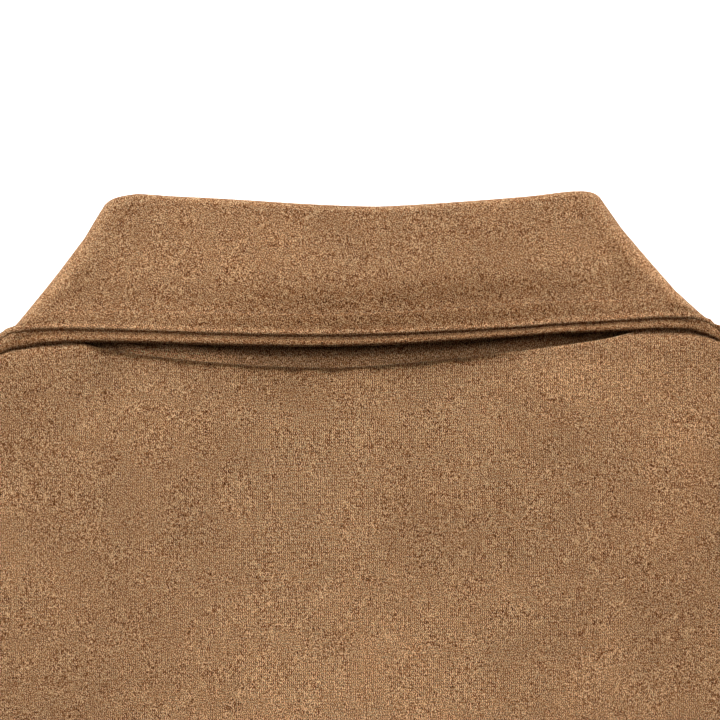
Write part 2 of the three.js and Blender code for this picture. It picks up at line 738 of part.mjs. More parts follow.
function fallSection(station) {
  const { roll, edge, neck: root } = station;
  const length = Math.hypot(edge[0] - roll[0], edge[1] - roll[1]);
  const down = unit([edge[0] - roll[0], edge[1] - roll[1]]);
  const standDown = unit([root[0] - roll[0], root[1] - roll[1]]);
  const edgeOut = station.edgeOut ?? station.out;
  const points = [];
  const lastInset = edgeInsets[edgeInsets.length - 1];
  const distances = [...edgeInsets, ...fallShares.map((share) => mix(lastInset, length, share))];
  for (const fromEdge of distances) {
    const along = 1 - fromEdge / length;
    const outer = tableValue(edgeProfile, "fromEdge", "outer", fromEdge);
    const inner = tableValue(edgeProfile, "fromEdge", "inner", fromEdge);
    const upShare = (1 + Math.sin((station.degrees * Math.PI) / 180)) / 2;
    const flatOuter = fromEdge < collar.edgeBand ? collar.edgeWall / 2 : collar.fallWall / 2;
    const outerHere = mix(flatOuter, outer, upShare);
    const bottomRadius = collar.middleHeight - outerHere;
    const bow = foldBow(along);
    const plan = mixPoint(roll, edge, along);
    plan[0] += bow[0] * station.bow;
    plan[1] += bow[1] * Math.abs(station.bow);
    const out = unit(mixPoint(station.out, edgeOut, along));
    const radius = mix(bottomRadius, fallRadiusAt(along, station.degrees, station.sideways), upShare);
    points.push({ at: aroundFold(plan, station, radius, out), outer: outerHere, inner });
  }
  const middle = (collar.fallRadius + collar.standRadius) / 2;
  const bottomMiddle = (collar.middleHeight - collar.fallWall / 2 + collar.standRadius) / 2;
  const share = (1 + Math.sin((station.degrees * Math.PI) / 180)) / 2;
  const centre = mix(bottomMiddle, middle, share);
  for (const turn of rollAngles) {
    const angle = (turn * Math.PI) / 180;
    const direction = unit(mixPoint(down, standDown, turn / 180));
    const reach = collar.rollRadius * Math.sin(angle);
    const plan = [roll[0] - direction[0] * reach, roll[1] - direction[1] * reach];
    const radius = centre + (centre - collar.standRadius) * Math.cos(angle);
    const point = aroundFold(plan, station, radius, station.out);
    points.push({ at: point, outer: collar.fallWall / 2, inner: collar.fallWall / 2 });
  }
  const plan = [roll[0] + standDown[0] * collar.standTurn, roll[1] + standDown[1] * collar.standTurn];
  const end = aroundFold(plan, station, collar.standRadius, station.out);
  points.push({ at: end, outer: collar.fallWall / 2, inner: collar.fallWall / 2 });
  return points;
}

function collarFall() {
  const sections = collarStations().map(fallSection);
  const grid = sections.map((section) => section.map((point) => point.at));
  const geometry = wallGeometry(grid, (i, j) => sections[i][j].outer, (i, j) => sections[i][j].inner);
  return clothMesh("collar_fall", outwards(geometry));
}

// Stand: the band between the neck seam and the roll, seen as a crescent under the collar's edge
function standSection(station) {
  const { roll, neck: root } = station;
  const up = unit([roll[0] - root[0], roll[1] - root[1]]);
  const length = Math.hypot(roll[0] - root[0], roll[1] - root[1]);
  const angle = (station.degrees * Math.PI) / 180;
  const top = length - collar.standTurn - cloth.seamGap - stand.topClear;
  const level = station.degrees > 0 ? layers.neckUpper : underHeight(root[0], root[1]);
  const upright = Math.abs(Math.sin(angle)) === 1;
  const seamRadius = upright ? Math.abs(level - collar.middleHeight) : collar.standRadius;
  const towardsEnd = smooth(...stand.startGrows, Math.abs(station.sideways));
  const start = mix(stand.startMiddle, stand.startEnds, towardsEnd);
  return [0, 0.3, 0.65, 1].map((share) => {
    const reach = mix(start, top, share);
    const retreat = station.side ? collar.standRadius * (1 - share) : 0;
    const plan = [
      root[0] + up[0] * reach - station.out[0] * retreat,
      root[1] + up[1] * reach - station.out[1] * retreat * stand.retreatY,
    ];
    const radius = mix(seamRadius, collar.standRadius, smooth(0, stand.levelReach, share));
    return aroundFold(plan, station, radius, station.out);
  });
}

function collarStand() {
  const grid = collarStations().map(standSection);
  const half = () => cloth.standWall / 2;
  return clothMesh("collar_stand", outwards(wallGeometry(grid, half, half)));
}

// Buttons: turned discs with a raised rim, lying on the table under the fronts
function buttonMesh(k) {
  const { radius, thick, rim, dish, flange, bevel, sides } = button;
  const profile = [
    [0, dish], [radius - rim - flange, dish], [radius - rim, 0], [radius - bevel, 0], [radius, bevel],
    [radius, thick - bevel], [radius - bevel, thick], [0, thick],
  ].map(([r, z]) => new THREE.Vector2(r, z));
  const geometry = new THREE.LatheGeometry(profile, sides);
  geometry.rotateX(Math.PI / 2);
  geometry.translate(0, buttonY(k), 0);
  const mesh = new THREE.Mesh(geometry, new THREE.MeshStandardMaterial(colours.button));
  mesh.name = `button_${k + 1}`;
  return mesh;
}

const jacket = new THREE.Group();
jacket.add(
  backPanel(),
  frontPanel(-1, "front_left"),
  frontPanel(1, "front_right"),
  sleeveTube(-1, "sleeve_left"),
  sleeveTube(1, "sleeve_right"),
  collarStand(),
  collarFall(),
);
for (let k = 0; k < button.count; k += 1) jacket.add(buttonMesh(k));

// The origin is under the middle of the whole jacket.
const extent = new THREE.Box3().setFromObject(jacket);
jacket.position.y = -(extent.min.y + extent.max.y) / 2;

export default jacket;
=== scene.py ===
import math
import bpy
import numpy as np
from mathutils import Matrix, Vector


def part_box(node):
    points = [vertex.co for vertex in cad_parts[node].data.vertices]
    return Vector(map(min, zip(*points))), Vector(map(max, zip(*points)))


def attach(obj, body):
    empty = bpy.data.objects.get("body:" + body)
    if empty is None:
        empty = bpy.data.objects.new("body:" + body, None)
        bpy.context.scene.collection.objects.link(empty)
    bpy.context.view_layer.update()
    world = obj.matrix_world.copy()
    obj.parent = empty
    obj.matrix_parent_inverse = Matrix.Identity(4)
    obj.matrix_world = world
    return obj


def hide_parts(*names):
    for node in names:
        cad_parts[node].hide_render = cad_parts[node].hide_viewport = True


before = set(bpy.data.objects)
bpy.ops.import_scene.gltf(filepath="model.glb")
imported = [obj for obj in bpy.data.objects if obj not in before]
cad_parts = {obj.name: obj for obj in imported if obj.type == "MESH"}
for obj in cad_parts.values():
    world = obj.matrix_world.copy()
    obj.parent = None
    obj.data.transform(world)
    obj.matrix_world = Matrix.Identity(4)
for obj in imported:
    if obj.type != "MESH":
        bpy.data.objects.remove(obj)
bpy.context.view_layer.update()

# A tan suede shirt jacket lying face down on a pale table, with its collar turned down over the back.
# Every piece of cloth is a thin shell: a middle surface worked out on a grid of two parameters, given an
# outside, an inside and rounded edges. Sizes are millimetres from the middle of the back neck seam, and
# newMesh turns them into metres in the model's frame.

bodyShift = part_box("back")[0][1] * 1000 + 680  # from the neck seam's y to the model's y


# Small helpers

def mix(a, b, t):  # a at 0, b at 1, in a straight line between them
    return a + (b - a) * t


def smooth(low, high, value):  # 0 below low, 1 above high, eased between
    t = np.clip((value - low) / (high - low), 0, 1)
    return t * t * (3 - 2 * t)


def bell(distance, reach):  # 1 at distance 0, soft fall to nothing at about twice the reach
    return np.exp(-(distance / reach) ** 2)


def toLinear(hexColour):  # sRGB hex to linear RGBA
    parts = [int(hexColour[k:k + 2], 16) / 255 for k in (1, 3, 5)]
    return tuple(c / 12.92 if c <= 0.04045 else ((c + 0.055) / 1.055) ** 2.4 for c in parts) + (1.0,)


def softWaves(x, y, wavelength, seed, count=7):  # sum of a few sines in seeded directions, about -1 to 1
    draw = np.random.default_rng(seed)
    angle = draw.uniform(0, 2 * np.pi, count)
    phase = draw.uniform(0, 2 * np.pi, count)
    pitch = wavelength * draw.uniform(0.7, 1.5, count)
    total = np.zeros(np.broadcast(x, y).shape)
    for a, p, w in zip(angle, phase, pitch):
        total += np.sin(2 * np.pi * (x * np.cos(a) + y * np.sin(a)) / w + p)
    return total / math.sqrt(count)


def ripples(x, y, waves):  # waves are (height, wavelength, seed)
    return sum(height * softWaves(x, y, wavelength, seed) for height, wavelength, seed in waves)


def puckers(run, pitch, shake):  # a sine along a run, shifted by a shake
    return np.sin(2 * np.pi * run / pitch + shake)


def distanceTo(points, x, y):  # least distance from each (x, y) to a line of straight stretches
    best = np.full(np.broadcast(x, y).shape, np.inf)
    for (ax, ay), (bx, by) in zip(points[:-1], points[1:]):
        t = np.clip(((x - ax) * (bx - ax) + (y - ay) * (by - ay)) / ((bx - ax) ** 2 + (by - ay) ** 2), 0, 1)
        best = np.minimum(best, np.hypot(x - mix(ax, bx, t), y - mix(ay, by, t)))
    return best


def quadratic(a, b, c, t):  # a curve from a to c pulled towards b
    a, b, c = (np.asarray(p, float) for p in (a, b, c))
    t = np.asarray(t, float)[..., None]
    return mix(mix(a, b, t), mix(b, c, t), t)


def unitRows(rows):  # each row scaled to length 1
    return rows / np.maximum(np.linalg.norm(rows, axis=-1, keepdims=True), 1e-9)


def lengthAlong(points):  # length of the line from its first point to each point
    steps = np.linalg.norm(np.diff(points, axis=0), axis=1)
    return np.concatenate([[0], np.cumsum(steps)])


def pointsAt(lengths, reached, points):  # points of the line at given lengths
    return np.stack([np.interp(lengths, reached, column) for column in points.T], -1)


# Heights of the layers and the outline of the body, seen from above

layers = {
    "wall": 1.6, "seamGap": 1.05,
    "under": 0.8, "upper": 7.8, "loft": 2.4, "loftReach": 70,
    "neckUnder": 5.7, "neckUpper": 11.9, "neckNear": 118, "neckFar": 265, "neckStretch": 1.1,
    "foldReach": 30, "leafNear": 3, "leafFar": 34, "calmReach": 12,
}
neck = {
    "half": 103, "shoulderRise": 15, "curveRise": 10.2, "curvePower": 1.6, "cornerPower": 16,
    "lowPointX": -7.5, "tilt": 0.008, "frontDepth": 78, "frontPower": 2.2,
}
body = {
    "shoulderX": 248, "shoulderSlope": 0.34, "shoulderHollow": 0.6,
    "pitX": 290, "pitY": -250, "armholeScoop": 14, "armholePower": 2.4,
    "hemX": 282, "waist": 4, "hemY": -680, "hemSideRise": 4, "overlap": 16,
    "hemDepth": 28, "hemStep": 0.8, "hemStitchIn": 3, "roundReach": 3.6, "roundPoints": 6,
}
buttonRow = {"firstY": -104, "pitch": 118, "count": 5, "rise": 3.3, "near": 12, "far": 30, "ends": (14, 60)}
softFolds = [  # x0, y0, x1, y1, half width, height
    (-276, -268, -120, -352, 34, 4.6), (272, -262, 140, -330, 36, 5.2), (262, -330, 120, -455, 38, 3.4),
    (-78, -400, -112, -664, 42, 3.6), (52, -430, 88, -668, 46, 4.2), (-262, -455, -150, -520, 34, 3.2),
    (330, -225, 440, -205, 30, 3.6), (470, -300, 520, -215, 30, 4.4), (545, -350, 605, -290, 28, 3.2),
    (-322, -238, -420, -190, 30, 3.8), (-455, -292, -488, -205, 30, 3.8), (-535, -345, -585, -268, 30, 3.9),
]
foldTaper = {"start": (-0.12, 0.3), "end": (0.6, 1.12)}  # shares of a soft fold's length


def backNeckY(x):  # a low curve that ends in a steep rise to the shoulder
    bend = 1 - (x / neck["half"]) ** 2
    share = np.abs(x - neck["lowPointX"] * bend) / neck["half"]
    corner = neck["shoulderRise"] - neck["curveRise"]
    rise = neck["curveRise"] * share ** neck["curvePower"] + corner * share ** neck["cornerPower"]
    return rise + neck["tilt"] * x * bend


def frontNeckY(x):  # a deeper curve through the same two ends
    depth = neck["frontDepth"] + neck["shoulderRise"]
    return -neck["frontDepth"] + depth * (np.abs(x) / neck["half"]) ** neck["frontPower"]


def shoulderY(x):  # a sloping line with a slight hollow
    out = np.abs(x) - neck["half"]
    hollow = body["shoulderHollow"] * np.sin(np.pi * out / (body["shoulderX"] - neck["half"]))
    return neck["shoulderRise"] - body["shoulderSlope"] * out - hollow


shoulderPoint = (body["shoulderX"], float(shoulderY(body["shoulderX"])))
pitPoint = (body["pitX"], body["pitY"])
hemSideY = body["hemY"] + body["hemSideRise"]
sideDrop = shoulderPoint[1] - hemSideY


def armhole(t):  # shoulder point at 0, underarm at 1, scooped towards the middle
    scoop = body["armholeScoop"] * np.sin(np.pi * t)
    x = mix(shoulderPoint[0], pitPoint[0], t ** body["armholePower"]) - scoop
    return x, mix(shoulderPoint[1], pitPoint[1], t)


def sideSeam(t):  # underarm at 0, hem at 1, a little in at the waist
    x = mix(body["pitX"], body["hemX"], t) - body["waist"] * np.sin(np.pi * t)
    return x, mix(body["pitY"], hemSideY, t)


def hemLine(x):  # a shallow curve that rises to both sides
    return body["hemY"] + body["hemSideRise"] * (x / body["hemX"]) ** 2


sleeve = {
    "topControl": (480, -122), "cuffTop": (705, -410), "cuffWidth": 118,
    "underFirst": (482, -318), "rootClear": 0.6, "pitClear": 1.6, "cuffStart": 0.957,
}
forearm = unitRows(np.subtract(sleeve["cuffTop"], sleeve["topControl"]))
cuffUnder = np.add(sleeve["cuffTop"], np.array([forearm[1], -forearm[0]]) * sleeve["cuffWidth"])
underStart = np.add(pitPoint, sleeve["pitClear"])


def topLine(t):  # the folded edge along the top of the sleeve
    return quadratic(shoulderPoint, sleeve["topControl"], sleeve["cuffTop"], t)


def underLine(t):  # the folded edge along the underside of the sleeve
    return quadratic(underStart, sleeve["underFirst"], cuffUnder, t)


shoulderX = np.linspace(neck["half"], body["shoulderX"], 13)
shoulderPath = np.stack([shoulderX, shoulderY(shoulderX)], 1)
sidePath = np.stack(sideSeam(np.linspace(0, 1, 11)), 1)
topPath = topLine(np.linspace(0, 1, 25))
underPath = underLine(np.linspace(0, 1, 25))


def bodyEdge(x, y):  # distance to the nearer of the shoulder line and the side seam
    return np.minimum(distanceTo(shoulderPath, np.abs(x), y), distanceTo(sidePath, np.abs(x), y))


def sleeveEdge(x, y):  # distance to the nearer of the sleeve's two folded edges
    return np.minimum(distanceTo(topPath, np.abs(x), y), distanceTo(underPath, np.abs(x), y))


def foldHeight(x, y):  # each soft fold is a ridge that tapers off at both ends
    height = np.zeros(np.broadcast(x, y).shape)
    for x0, y0, x1, y1, halfWidth, rise in softFolds:
        dx, dy = x1 - x0, y1 - y0
        along = ((x - x0) * dx + (y - y0) * dy) / (dx * dx + dy * dy)
        across = np.abs((x - x0) * dy - (y - y0) * dx) / math.hypot(dx, dy)
        taper = smooth(*foldTaper["start"], along) * (1 - smooth(*foldTaper["end"], along))
        height += rise * taper * (1 - smooth(0, halfWidth, across))
    return height


def upperHeight(x, y, edge):  # low beside the folded edges, higher inside and over the collar's leaves
    fromNeck = np.hypot(x, (y - neck["shoulderRise"]) * layers["neckStretch"])
    close = 1 - smooth(layers["neckNear"], layers["neckFar"], fromNeck)
    folds = foldHeight(x, y) * smooth(0, layers["foldReach"], edge)
    loft = layers["loft"] * smooth(0, layers["loftReach"], edge) + folds
    return mix(layers["upper"], layers["neckUpper"], close) + (1 - close) * loft


leafCorners = [(82, 46), (131, -4), (124, -58), (72, -125), (24, -46)]


def underHeight(x, y):  # on the table, but over the collar's leaves and over the row of buttons
    out = np.full(np.broadcast(x, y).shape, -np.inf)
    for (ax, ay), (bx, by) in zip(leafCorners, leafCorners[1:] + leafCorners[:1]):
        across = ((np.abs(x) - ax) * (ay - by) + (y - ay) * (bx - ax)) / math.hypot(bx - ax, by - ay)
        out = np.maximum(out, across)
    overLeaf = 1 - smooth(layers["leafNear"], layers["leafFar"], out)
    lastY = buttonRow["firstY"] - buttonRow["pitch"] * (buttonRow["count"] - 1)
    past = np.maximum(0, np.maximum(y - buttonRow["firstY"], lastY - y))
    overButtons = 1 - smooth(buttonRow["near"], buttonRow["far"], np.abs(x))
    overButtons = overButtons * (1 - smooth(*buttonRow["ends"], past))
    return mix(layers["under"], layers["neckUnder"], overLeaf) + buttonRow["rise"] * overButtons


def turned(height, other, edge):  # a quarter round down to half way between the layers at a folded edge
    middle = (height + other) / 2
    radius = np.abs(height - other) / 2
    rounding = np.sqrt(1 - (1 - np.minimum(1, edge / radius)) ** 2)
    start = middle + np.sign(height - middle) * layers["seamGap"] / 2
    return mix(start, height, rounding)


# From grids to meshes

def difference(grid, axis, ring=False):  # step between the neighbours on both sides of each grid point
    if ring:
        return np.roll(grid, -1, axis) - np.roll(grid, 1, axis)
    return np.gradient(grid, axis=axis)


def gridNormals(grid, ring=False):  # cross product of the steps along both directions, scaled to 1
    return unitRows(np.cross(difference(grid, 0, ring), difference(grid, 1)))


def addObject(name, data):  # a new object in the scene, at the origin
    thing = bpy.data.objects.new(name, data)
    bpy.context.scene.collection.objects.link(thing)
    return thing


def newMesh(name, points, faces, materials):  # body millimetres to a placed object
    mesh = bpy.data.meshes.new(name)
    placed = (points + [0, bodyShift, 0]) / 1000
    mesh.from_pydata(placed.tolist(), [], faces)
    mesh.polygons.foreach_set("use_smooth", np.ones(len(mesh.polygons), bool))
    for material in materials:
        mesh.materials.append(material)
    return addObject(name, mesh)


def ringFaces(rings, sides):  # quads between each ring of points and the next
    k = np.arange(sides)
    after = (k + 1) % sides
    start = np.arange(rings - 1)[:, None] * sides
    return np.stack([start + k, start + after, start + sides + after, start + sides + k], -1).reshape(-1, 4)


def setPointValues(mesh, name, values):  # one number at each vertex, for the material
    attribute = mesh.attributes.new(name, "FLOAT", "POINT")
    attribute.data.foreach_set("value", np.asarray(values, np.float32).ravel())


def clothShell(name, grid, outer, inner, cut, tone, wale, materials, ring=False, flip=False):
    # For each column the section is a closed loop: the outside from its first to its last row, a half
    # round at the last row, the inside back again, and a half round at the first row.
    columns, rows = grid.shape[:2]
    outer, inner, tone, wale = (np.broadcast_to(v, (columns, rows)) for v in (outer, inner, tone, wale))
    normal = gridNormals(grid, ring) * (-1 if flip else 1)
    grid = grid.copy()
    tips = []
    for end, beside in ((0, 1), (rows - 1, rows - 2)):
        away = unitRows(grid[:, end] - grid[:, beside])
        half = (outer[:, end] + inner[:, end])[:, None] / 2
        grid[:, end] -= away * half
        tips.append((away, half, end))
    outside = grid + normal * outer[..., None]
    inside = grid - normal * inner[..., None]
    rounds = []
    for away, half, end in tips:
        middle = (outside[:, end] + inside[:, end]) / 2
        for degrees in (45, 90, 135):
            turn = math.radians(degrees)
            rounds.append(middle + normal[:, end] * half * math.cos(turn) + away * half * math.sin(turn))
    first, last = rounds[:3], rounds[3:]
    loop = np.concatenate([outside, np.stack(last, 1), inside[:, ::-1], np.stack(first[::-1], 1)], axis=1)
    length = loop.shape[1]
    rowOf = np.concatenate([np.arange(rows), [rows - 1] * 3, np.arange(rows)[::-1], [0] * 3])
    i = np.arange(columns if ring else columns - 1)[:, None]
    k = np.arange(length)[None, :]
    nextI, nextK = (i + 1) % columns, (k + 1) % length
    quads = np.stack(np.broadcast_arrays(
        i * length + k, nextI * length + k, nextI * length + nextK, i * length + nextK,
    ), -1).reshape(-1, 4)
    if flip:
        quads = quads[:, ::-1]
    isInside = np.broadcast_to((k > rows + 1) & (k < 2 * rows + 3), (len(i), length)).ravel()
    faces = quads.tolist()
    slots = isInside.astype(np.int32).tolist()
    if not ring:
        sideA = np.array([2 * rows + 4, 2 * rows + 5, *range(rows), rows, rows + 1])
        back = range(2 * rows + 2, rows + 2, -1)
        sideB = np.array([2 * rows + 4, 2 * rows + 3, *back, rows + 2, rows + 1])
        for column in (0, columns - 1):
            a, b = sideA + column * length, sideB + column * length
            caps = [[a[0], a[1], b[1]], [a[-2], a[-1], b[-2]]]
            caps += np.stack([a[1:-2], a[2:-1], b[2:-1], b[1:-2]], 1).tolist()
            if (column == 0) != flip:
                caps = [face[::-1] for face in caps]
            faces += [[int(v) for v in face] for face in caps]
            slots += [0] * len(caps)
    piece = newMesh(name, loop.reshape(-1, 3), faces, materials)
    mesh = piece.data
    mesh.polygons.foreach_set("material_index", slots)
    setPointValues(mesh, "tone", tone[:, rowOf])
    setPointValues(mesh, "wale", wale[:, rowOf])
    corners = np.empty(len(mesh.loops), np.int32)
    mesh.loops.foreach_get("vertex_index", corners)
    flat = cut[:, rowOf].reshape(-1, 2)[corners]
    mesh.uv_layers.new(name="cut").data.foreach_set("uv", flat.astype(np.float32).ravel())
    return piece


def cutLengths(grid):  # flat position of each grid point: lengths along both directions
    across = np.linalg.norm(np.diff(grid, axis=0), axis=-1).mean(axis=1)
    down = np.linalg.norm(np.diff(grid, axis=1), axis=-1).mean(axis=0)
    u = np.concatenate([[0], np.cumsum(across)])
    v = np.concatenate([[0], np.cumsum(down)])
    return np.stack(np.meshgrid(u, v, indexing="ij"), -1)


# Materials

def addNode(tree, kind, settings):
    # A value that is a node or a socket is linked. Any other is set on the socket or property of that name.
    node = tree.nodes.new("ShaderNode" + kind)
    for key, value in settings.items():
        if isinstance(value, bpy.types.Node):
            value = value.outputs[0]
        if isinstance(value, bpy.types.NodeSocket):
            tree.links.new(value, node.inputs[key])
        elif isinstance(key, int) or key in node.inputs:
            node.inputs[key].default_value = value
        else:
            setattr(node, key, value)
    return node


def maths(tree, operation, *values):  # each value is a number, a node or a socket
    return addNode(tree, "Math", {"operation": operation, **dict(enumerate(values))})


def noise(tree, place, scale, detail, roughness=0.5):  # scale is in grains for each unit of place
    return addNode(tree, "TexNoise", {
        "noise_dimensions": "3D", "Scale": scale, "Detail": detail, "Roughness": roughness, "Vector": place,
    })


def colourRamp(tree, factor, stops):  # stops are (position, hex colour)
    node = addNode(tree, "ValToRGB", {"Fac": factor})
    elements = node.color_ramp.elements
    while len(elements) < len(stops):
        elements.new(0.5)
    for element, (position, colour) in zip(elements, stops):
        element.position = position
        element.color = toLinear(colour)
    return node


def startMaterial(name):  # a new material whose node tree is empty
    material = bpy.data.materials.new(name)
    material.use_nodes = True
    tree = material.node_tree
    tree.nodes.clear()
    return material, tree


def finishMaterial(tree, settings):  # adds the surface shader and the output
    addNode(tree, "OutputMaterial", {"Surface": addNode(tree, "BsdfPrincipled", settings)})


suedeLook = {
    "ramp": [(0.09, "#3c1506"), (0.33, "#894b23"), (0.5, "#bc8050"), (0.68, "#e4ad7c"), (0.92, "#ffe2b4")],
    "grainMm": 0.39, "grainRoughness": 0.75, "strokeTilt": 24, "strokeStretch": (1.2, 0.95), "tuftMm": 1.4,
    "mottleMm": 26, "mottleRange": (0.3, 0.7), "mottle": (0.90, 1.10), "waleMm": 0.69, "waleShake": 7.0,
    "courseMm": 1.05, "courseShake": 9.0, "course": (0.6, 0.45), "grainRange": (0.36, 0.64),
    "tuftShare": 0.34, "waleShare": 0.42, "level": 0.17, "reliefMm": 0.42, "shadeGamma": 1.65,
    "sheen": 0.10, "sheenColour": "#d9ad7c",
}


def suedeMaterial(name, look):
    # Microsuede: a knitted cloth sanded to a short nap. To the eye it is matt, with a fine light and dark
    # speckle of tufts, faint vertical wales of the knit under it, and a soft pale sheen at grazing angles.
    material, tree = startMaterial(name)
    place = addNode(tree, "TexCoord", {}).outputs["Object"]
    where = addNode(tree, "Mapping", {"Scale": (1000, 1000, 1000), "Vector": place})
    tone = addNode(tree, "Attribute", {"attribute_name": "tone"}).outputs["Fac"]
    waleShare = addNode(tree, "Attribute", {"attribute_name": "wale"}).outputs["Fac"]

    # The nap lies in short strokes: the grain is drawn out along a tilted direction.
    tilt = math.radians(look["strokeTilt"])
    strokes = addNode(tree, "Mapping", {
        "Rotation": (0, 0, tilt), "Scale": (*look["strokeStretch"], 1.0), "Vector": where,
    })
    grain = noise(tree, strokes, 1 / look["grainMm"], 2.0, look["grainRoughness"])
    tuft = noise(tree, where, 1 / look["tuftMm"], 1.0)
    mottle = noise(tree, where, 1 / look["mottleMm"], 3.0, 0.6)

    # Wales: a sine across the cut, shaken by the tufts, broken into stitches by a slower sine along it.
    split = addNode(tree, "SeparateXYZ", {"Vector": addNode(tree, "UVMap", {"uv_map": "cut"})})
    shake = maths(tree, "MULTIPLY", tuft, look["waleShake"])
    across = maths(tree, "MULTIPLY_ADD", split.outputs["X"], 2 * math.pi / look["waleMm"], shake)
    shake = maths(tree, "MULTIPLY", grain, look["courseShake"])
    along = maths(tree, "MULTIPLY_ADD", split.outputs["Y"], 2 * math.pi / look["courseMm"], shake)
    course = maths(tree, "MULTIPLY_ADD", maths(tree, "SINE", along), *look["course"])
    wales = maths(tree, "MULTIPLY", maths(tree, "SINE", across), course)
    wales = maths(tree, "MULTIPLY", wales, waleShare)

    # One height field serves the colour and the relief: pits between tufts are dark with painted shade,
    # tips are pale.
    low, high = look["grainRange"]
    sharp = addNode(tree, "MapRange", {"clamp": False, "From Min": low, "From Max": high, "Value": grain})
    height = maths(tree, "MULTIPLY_ADD", tuft, look["tuftShare"], sharp)
    height = maths(tree, "MULTIPLY_ADD", wales, look["waleShare"], height)
    height = maths(tree, "SUBTRACT", height, look["level"])
    speckle = colourRamp(tree, height, look["ramp"])

    # Slow changes of tone: lighter and darker patches, painted shade and painted light, given in the tone
    # attribute, and a random mottle.
    start, end = look["mottleRange"]
    low, high = look["mottle"]
    mottled = addNode(tree, "MapRange", {
        "From Min": start, "From Max": end, "To Min": low, "To Max": high, "Value": mottle,
    })
    gain = maths(tree, "MULTIPLY", mottled, maths(tree, "ADD", tone, 1.0))
    colour = addNode(tree, "VectorMath", {"operation": "SCALE", 0: speckle, "Scale": gain})

    # Painted shade is made redder too: light that bounces deep in the pile comes out redder, so a darker
    # tone gets a stronger hue.
    depth = addNode(tree, "MapRange", {
        "From Min": -1.0, "From Max": 0.0, "To Min": look["shadeGamma"], "To Max": 1.0, "Value": tone,
    })
    warm = addNode(tree, "Gamma", {"Color": colour, "Gamma": depth})
    bump = addNode(tree, "Bump", {"Strength": 1.0, "Distance": look["reliefMm"] / 1000, "Height": height})
    finishMaterial(tree, {
        "Base Color": warm, "Normal": bump, "Roughness": 0.95, "IOR": 1.45, "Specular IOR Level": 0.12,
        "Sheen Weight": look["sheen"], "Sheen Roughness": 0.5, "Sheen Tint": toLinear(look["sheenColour"]),
    })
    return material


backingLook = {"thread": "#b08c68", "gap": "#6f5138", "loopMm": 0.9, "rowMm": 0.8, "reliefMm": 0.2}


def backingMaterial(name, look):
    # Brushed knit, the unsanded inside of the same cloth: even small loops in rows, paler and matt.
    material, tree = startMaterial(name)
    split = addNode(tree, "SeparateXYZ", {"Vector": addNode(tree, "UVMap", {"uv_map": "cut"})})
    waves = []
    for axis, pitch in (("X", look["loopMm"]), ("Y", look["rowMm"])):
        turn = maths(tree, "MULTIPLY", split.outputs[axis], 2 * math.pi / pitch)
        waves.append(maths(tree, "SINE", turn))
    share = maths(tree, "MULTIPLY_ADD", maths(tree, "MULTIPLY", *waves), 0.5, 0.5)
    loops = colourRamp(tree, share, [(0.0, look["gap"]), (1.0, look["thread"])])
    bump = addNode(tree, "Bump", {"Strength": 0.8, "Distance": look["reliefMm"] / 1000, "Height": share})
    finishMaterial(tree, {
        "Roughness": 0.9, "IOR": 1.45, "Specular IOR Level": 0.15, "Sheen Weight": 0.1, "Base Color": loops,
        "Normal": bump,
    })
    return material


suede = suedeMaterial("nappedSuede", suedeLook)
backing = backingMaterial("brushedKnitBacking", backingLook)
print("materials ready")


# Slow lighter and darker patches of tone; the dark patch just below the middle of the neck seam is painted
# shade: x, y, reach across, reach up, amount

toneAndShadePatches = [
    (-68, 25, 26, 16, 0.22), (52, 38, 30, 14, 0.03), (76, 28, 20, 13, 0.14), (-15, 44, 30, 10, 0.03),
    (0, 29, 40, 8, 0.10), (-41, 46, 22, 9, 0.08), (84, -4, 30, 13, 0.28), (-66, -16, 26, 16, 0.10),
    # the patch at (-20, -8) is painted shade from the collar, just below the neck seam
    (-112, -12, 16, 14, -0.05), (-120, -50, 20, 28, 0.14), (-20, -8, 40, 8, -0.06),
    (-6, -108, 46, 26, 0.18), (40, -116, 70, 30, 0.08), (18, -52, 36, 12, -0.03),
    (112, -40, 18, 46, 0.03), (-60, -100, 34, 24, 0.06),
    (88, -90, 24, 24, 0.08), (8, -78, 32, 14, 0.06), (0, -78, 120, 10, 0.06), (0, -118, 130, 12, 0.07),
    (116, -20, 14, 18, 0.08), (-99, 21, 15, 9, 0.16), (99, 20, 14, 9, 0.16),
]


def patchToneAndShade(x, y):  # sum of soft oval patches
    total = np.zeros(np.broadcast(x, y).shape)
    for px, py, rx, ry, amount in toneAndShadePatches:
        total += amount * np.exp(-((x - px) / rx) ** 2 - ((y - py) / ry) ** 2)
    return total


plainWales = 0.6  # how much the knit shows on the plain pieces
backWales = {"sides": 0.45, "middle": 0.55, "reach": 90, "drift": (0.12, 60, 4)}


def waleStrength(x, y):  # the knit shows most down the middle of the back, and comes and goes by a ripple
    middle = backWales["middle"] * bell(x, backWales["reach"])
    return backWales["sides"] + middle + ripples(x, y, [backWales["drift"]])


# Shape of the collar

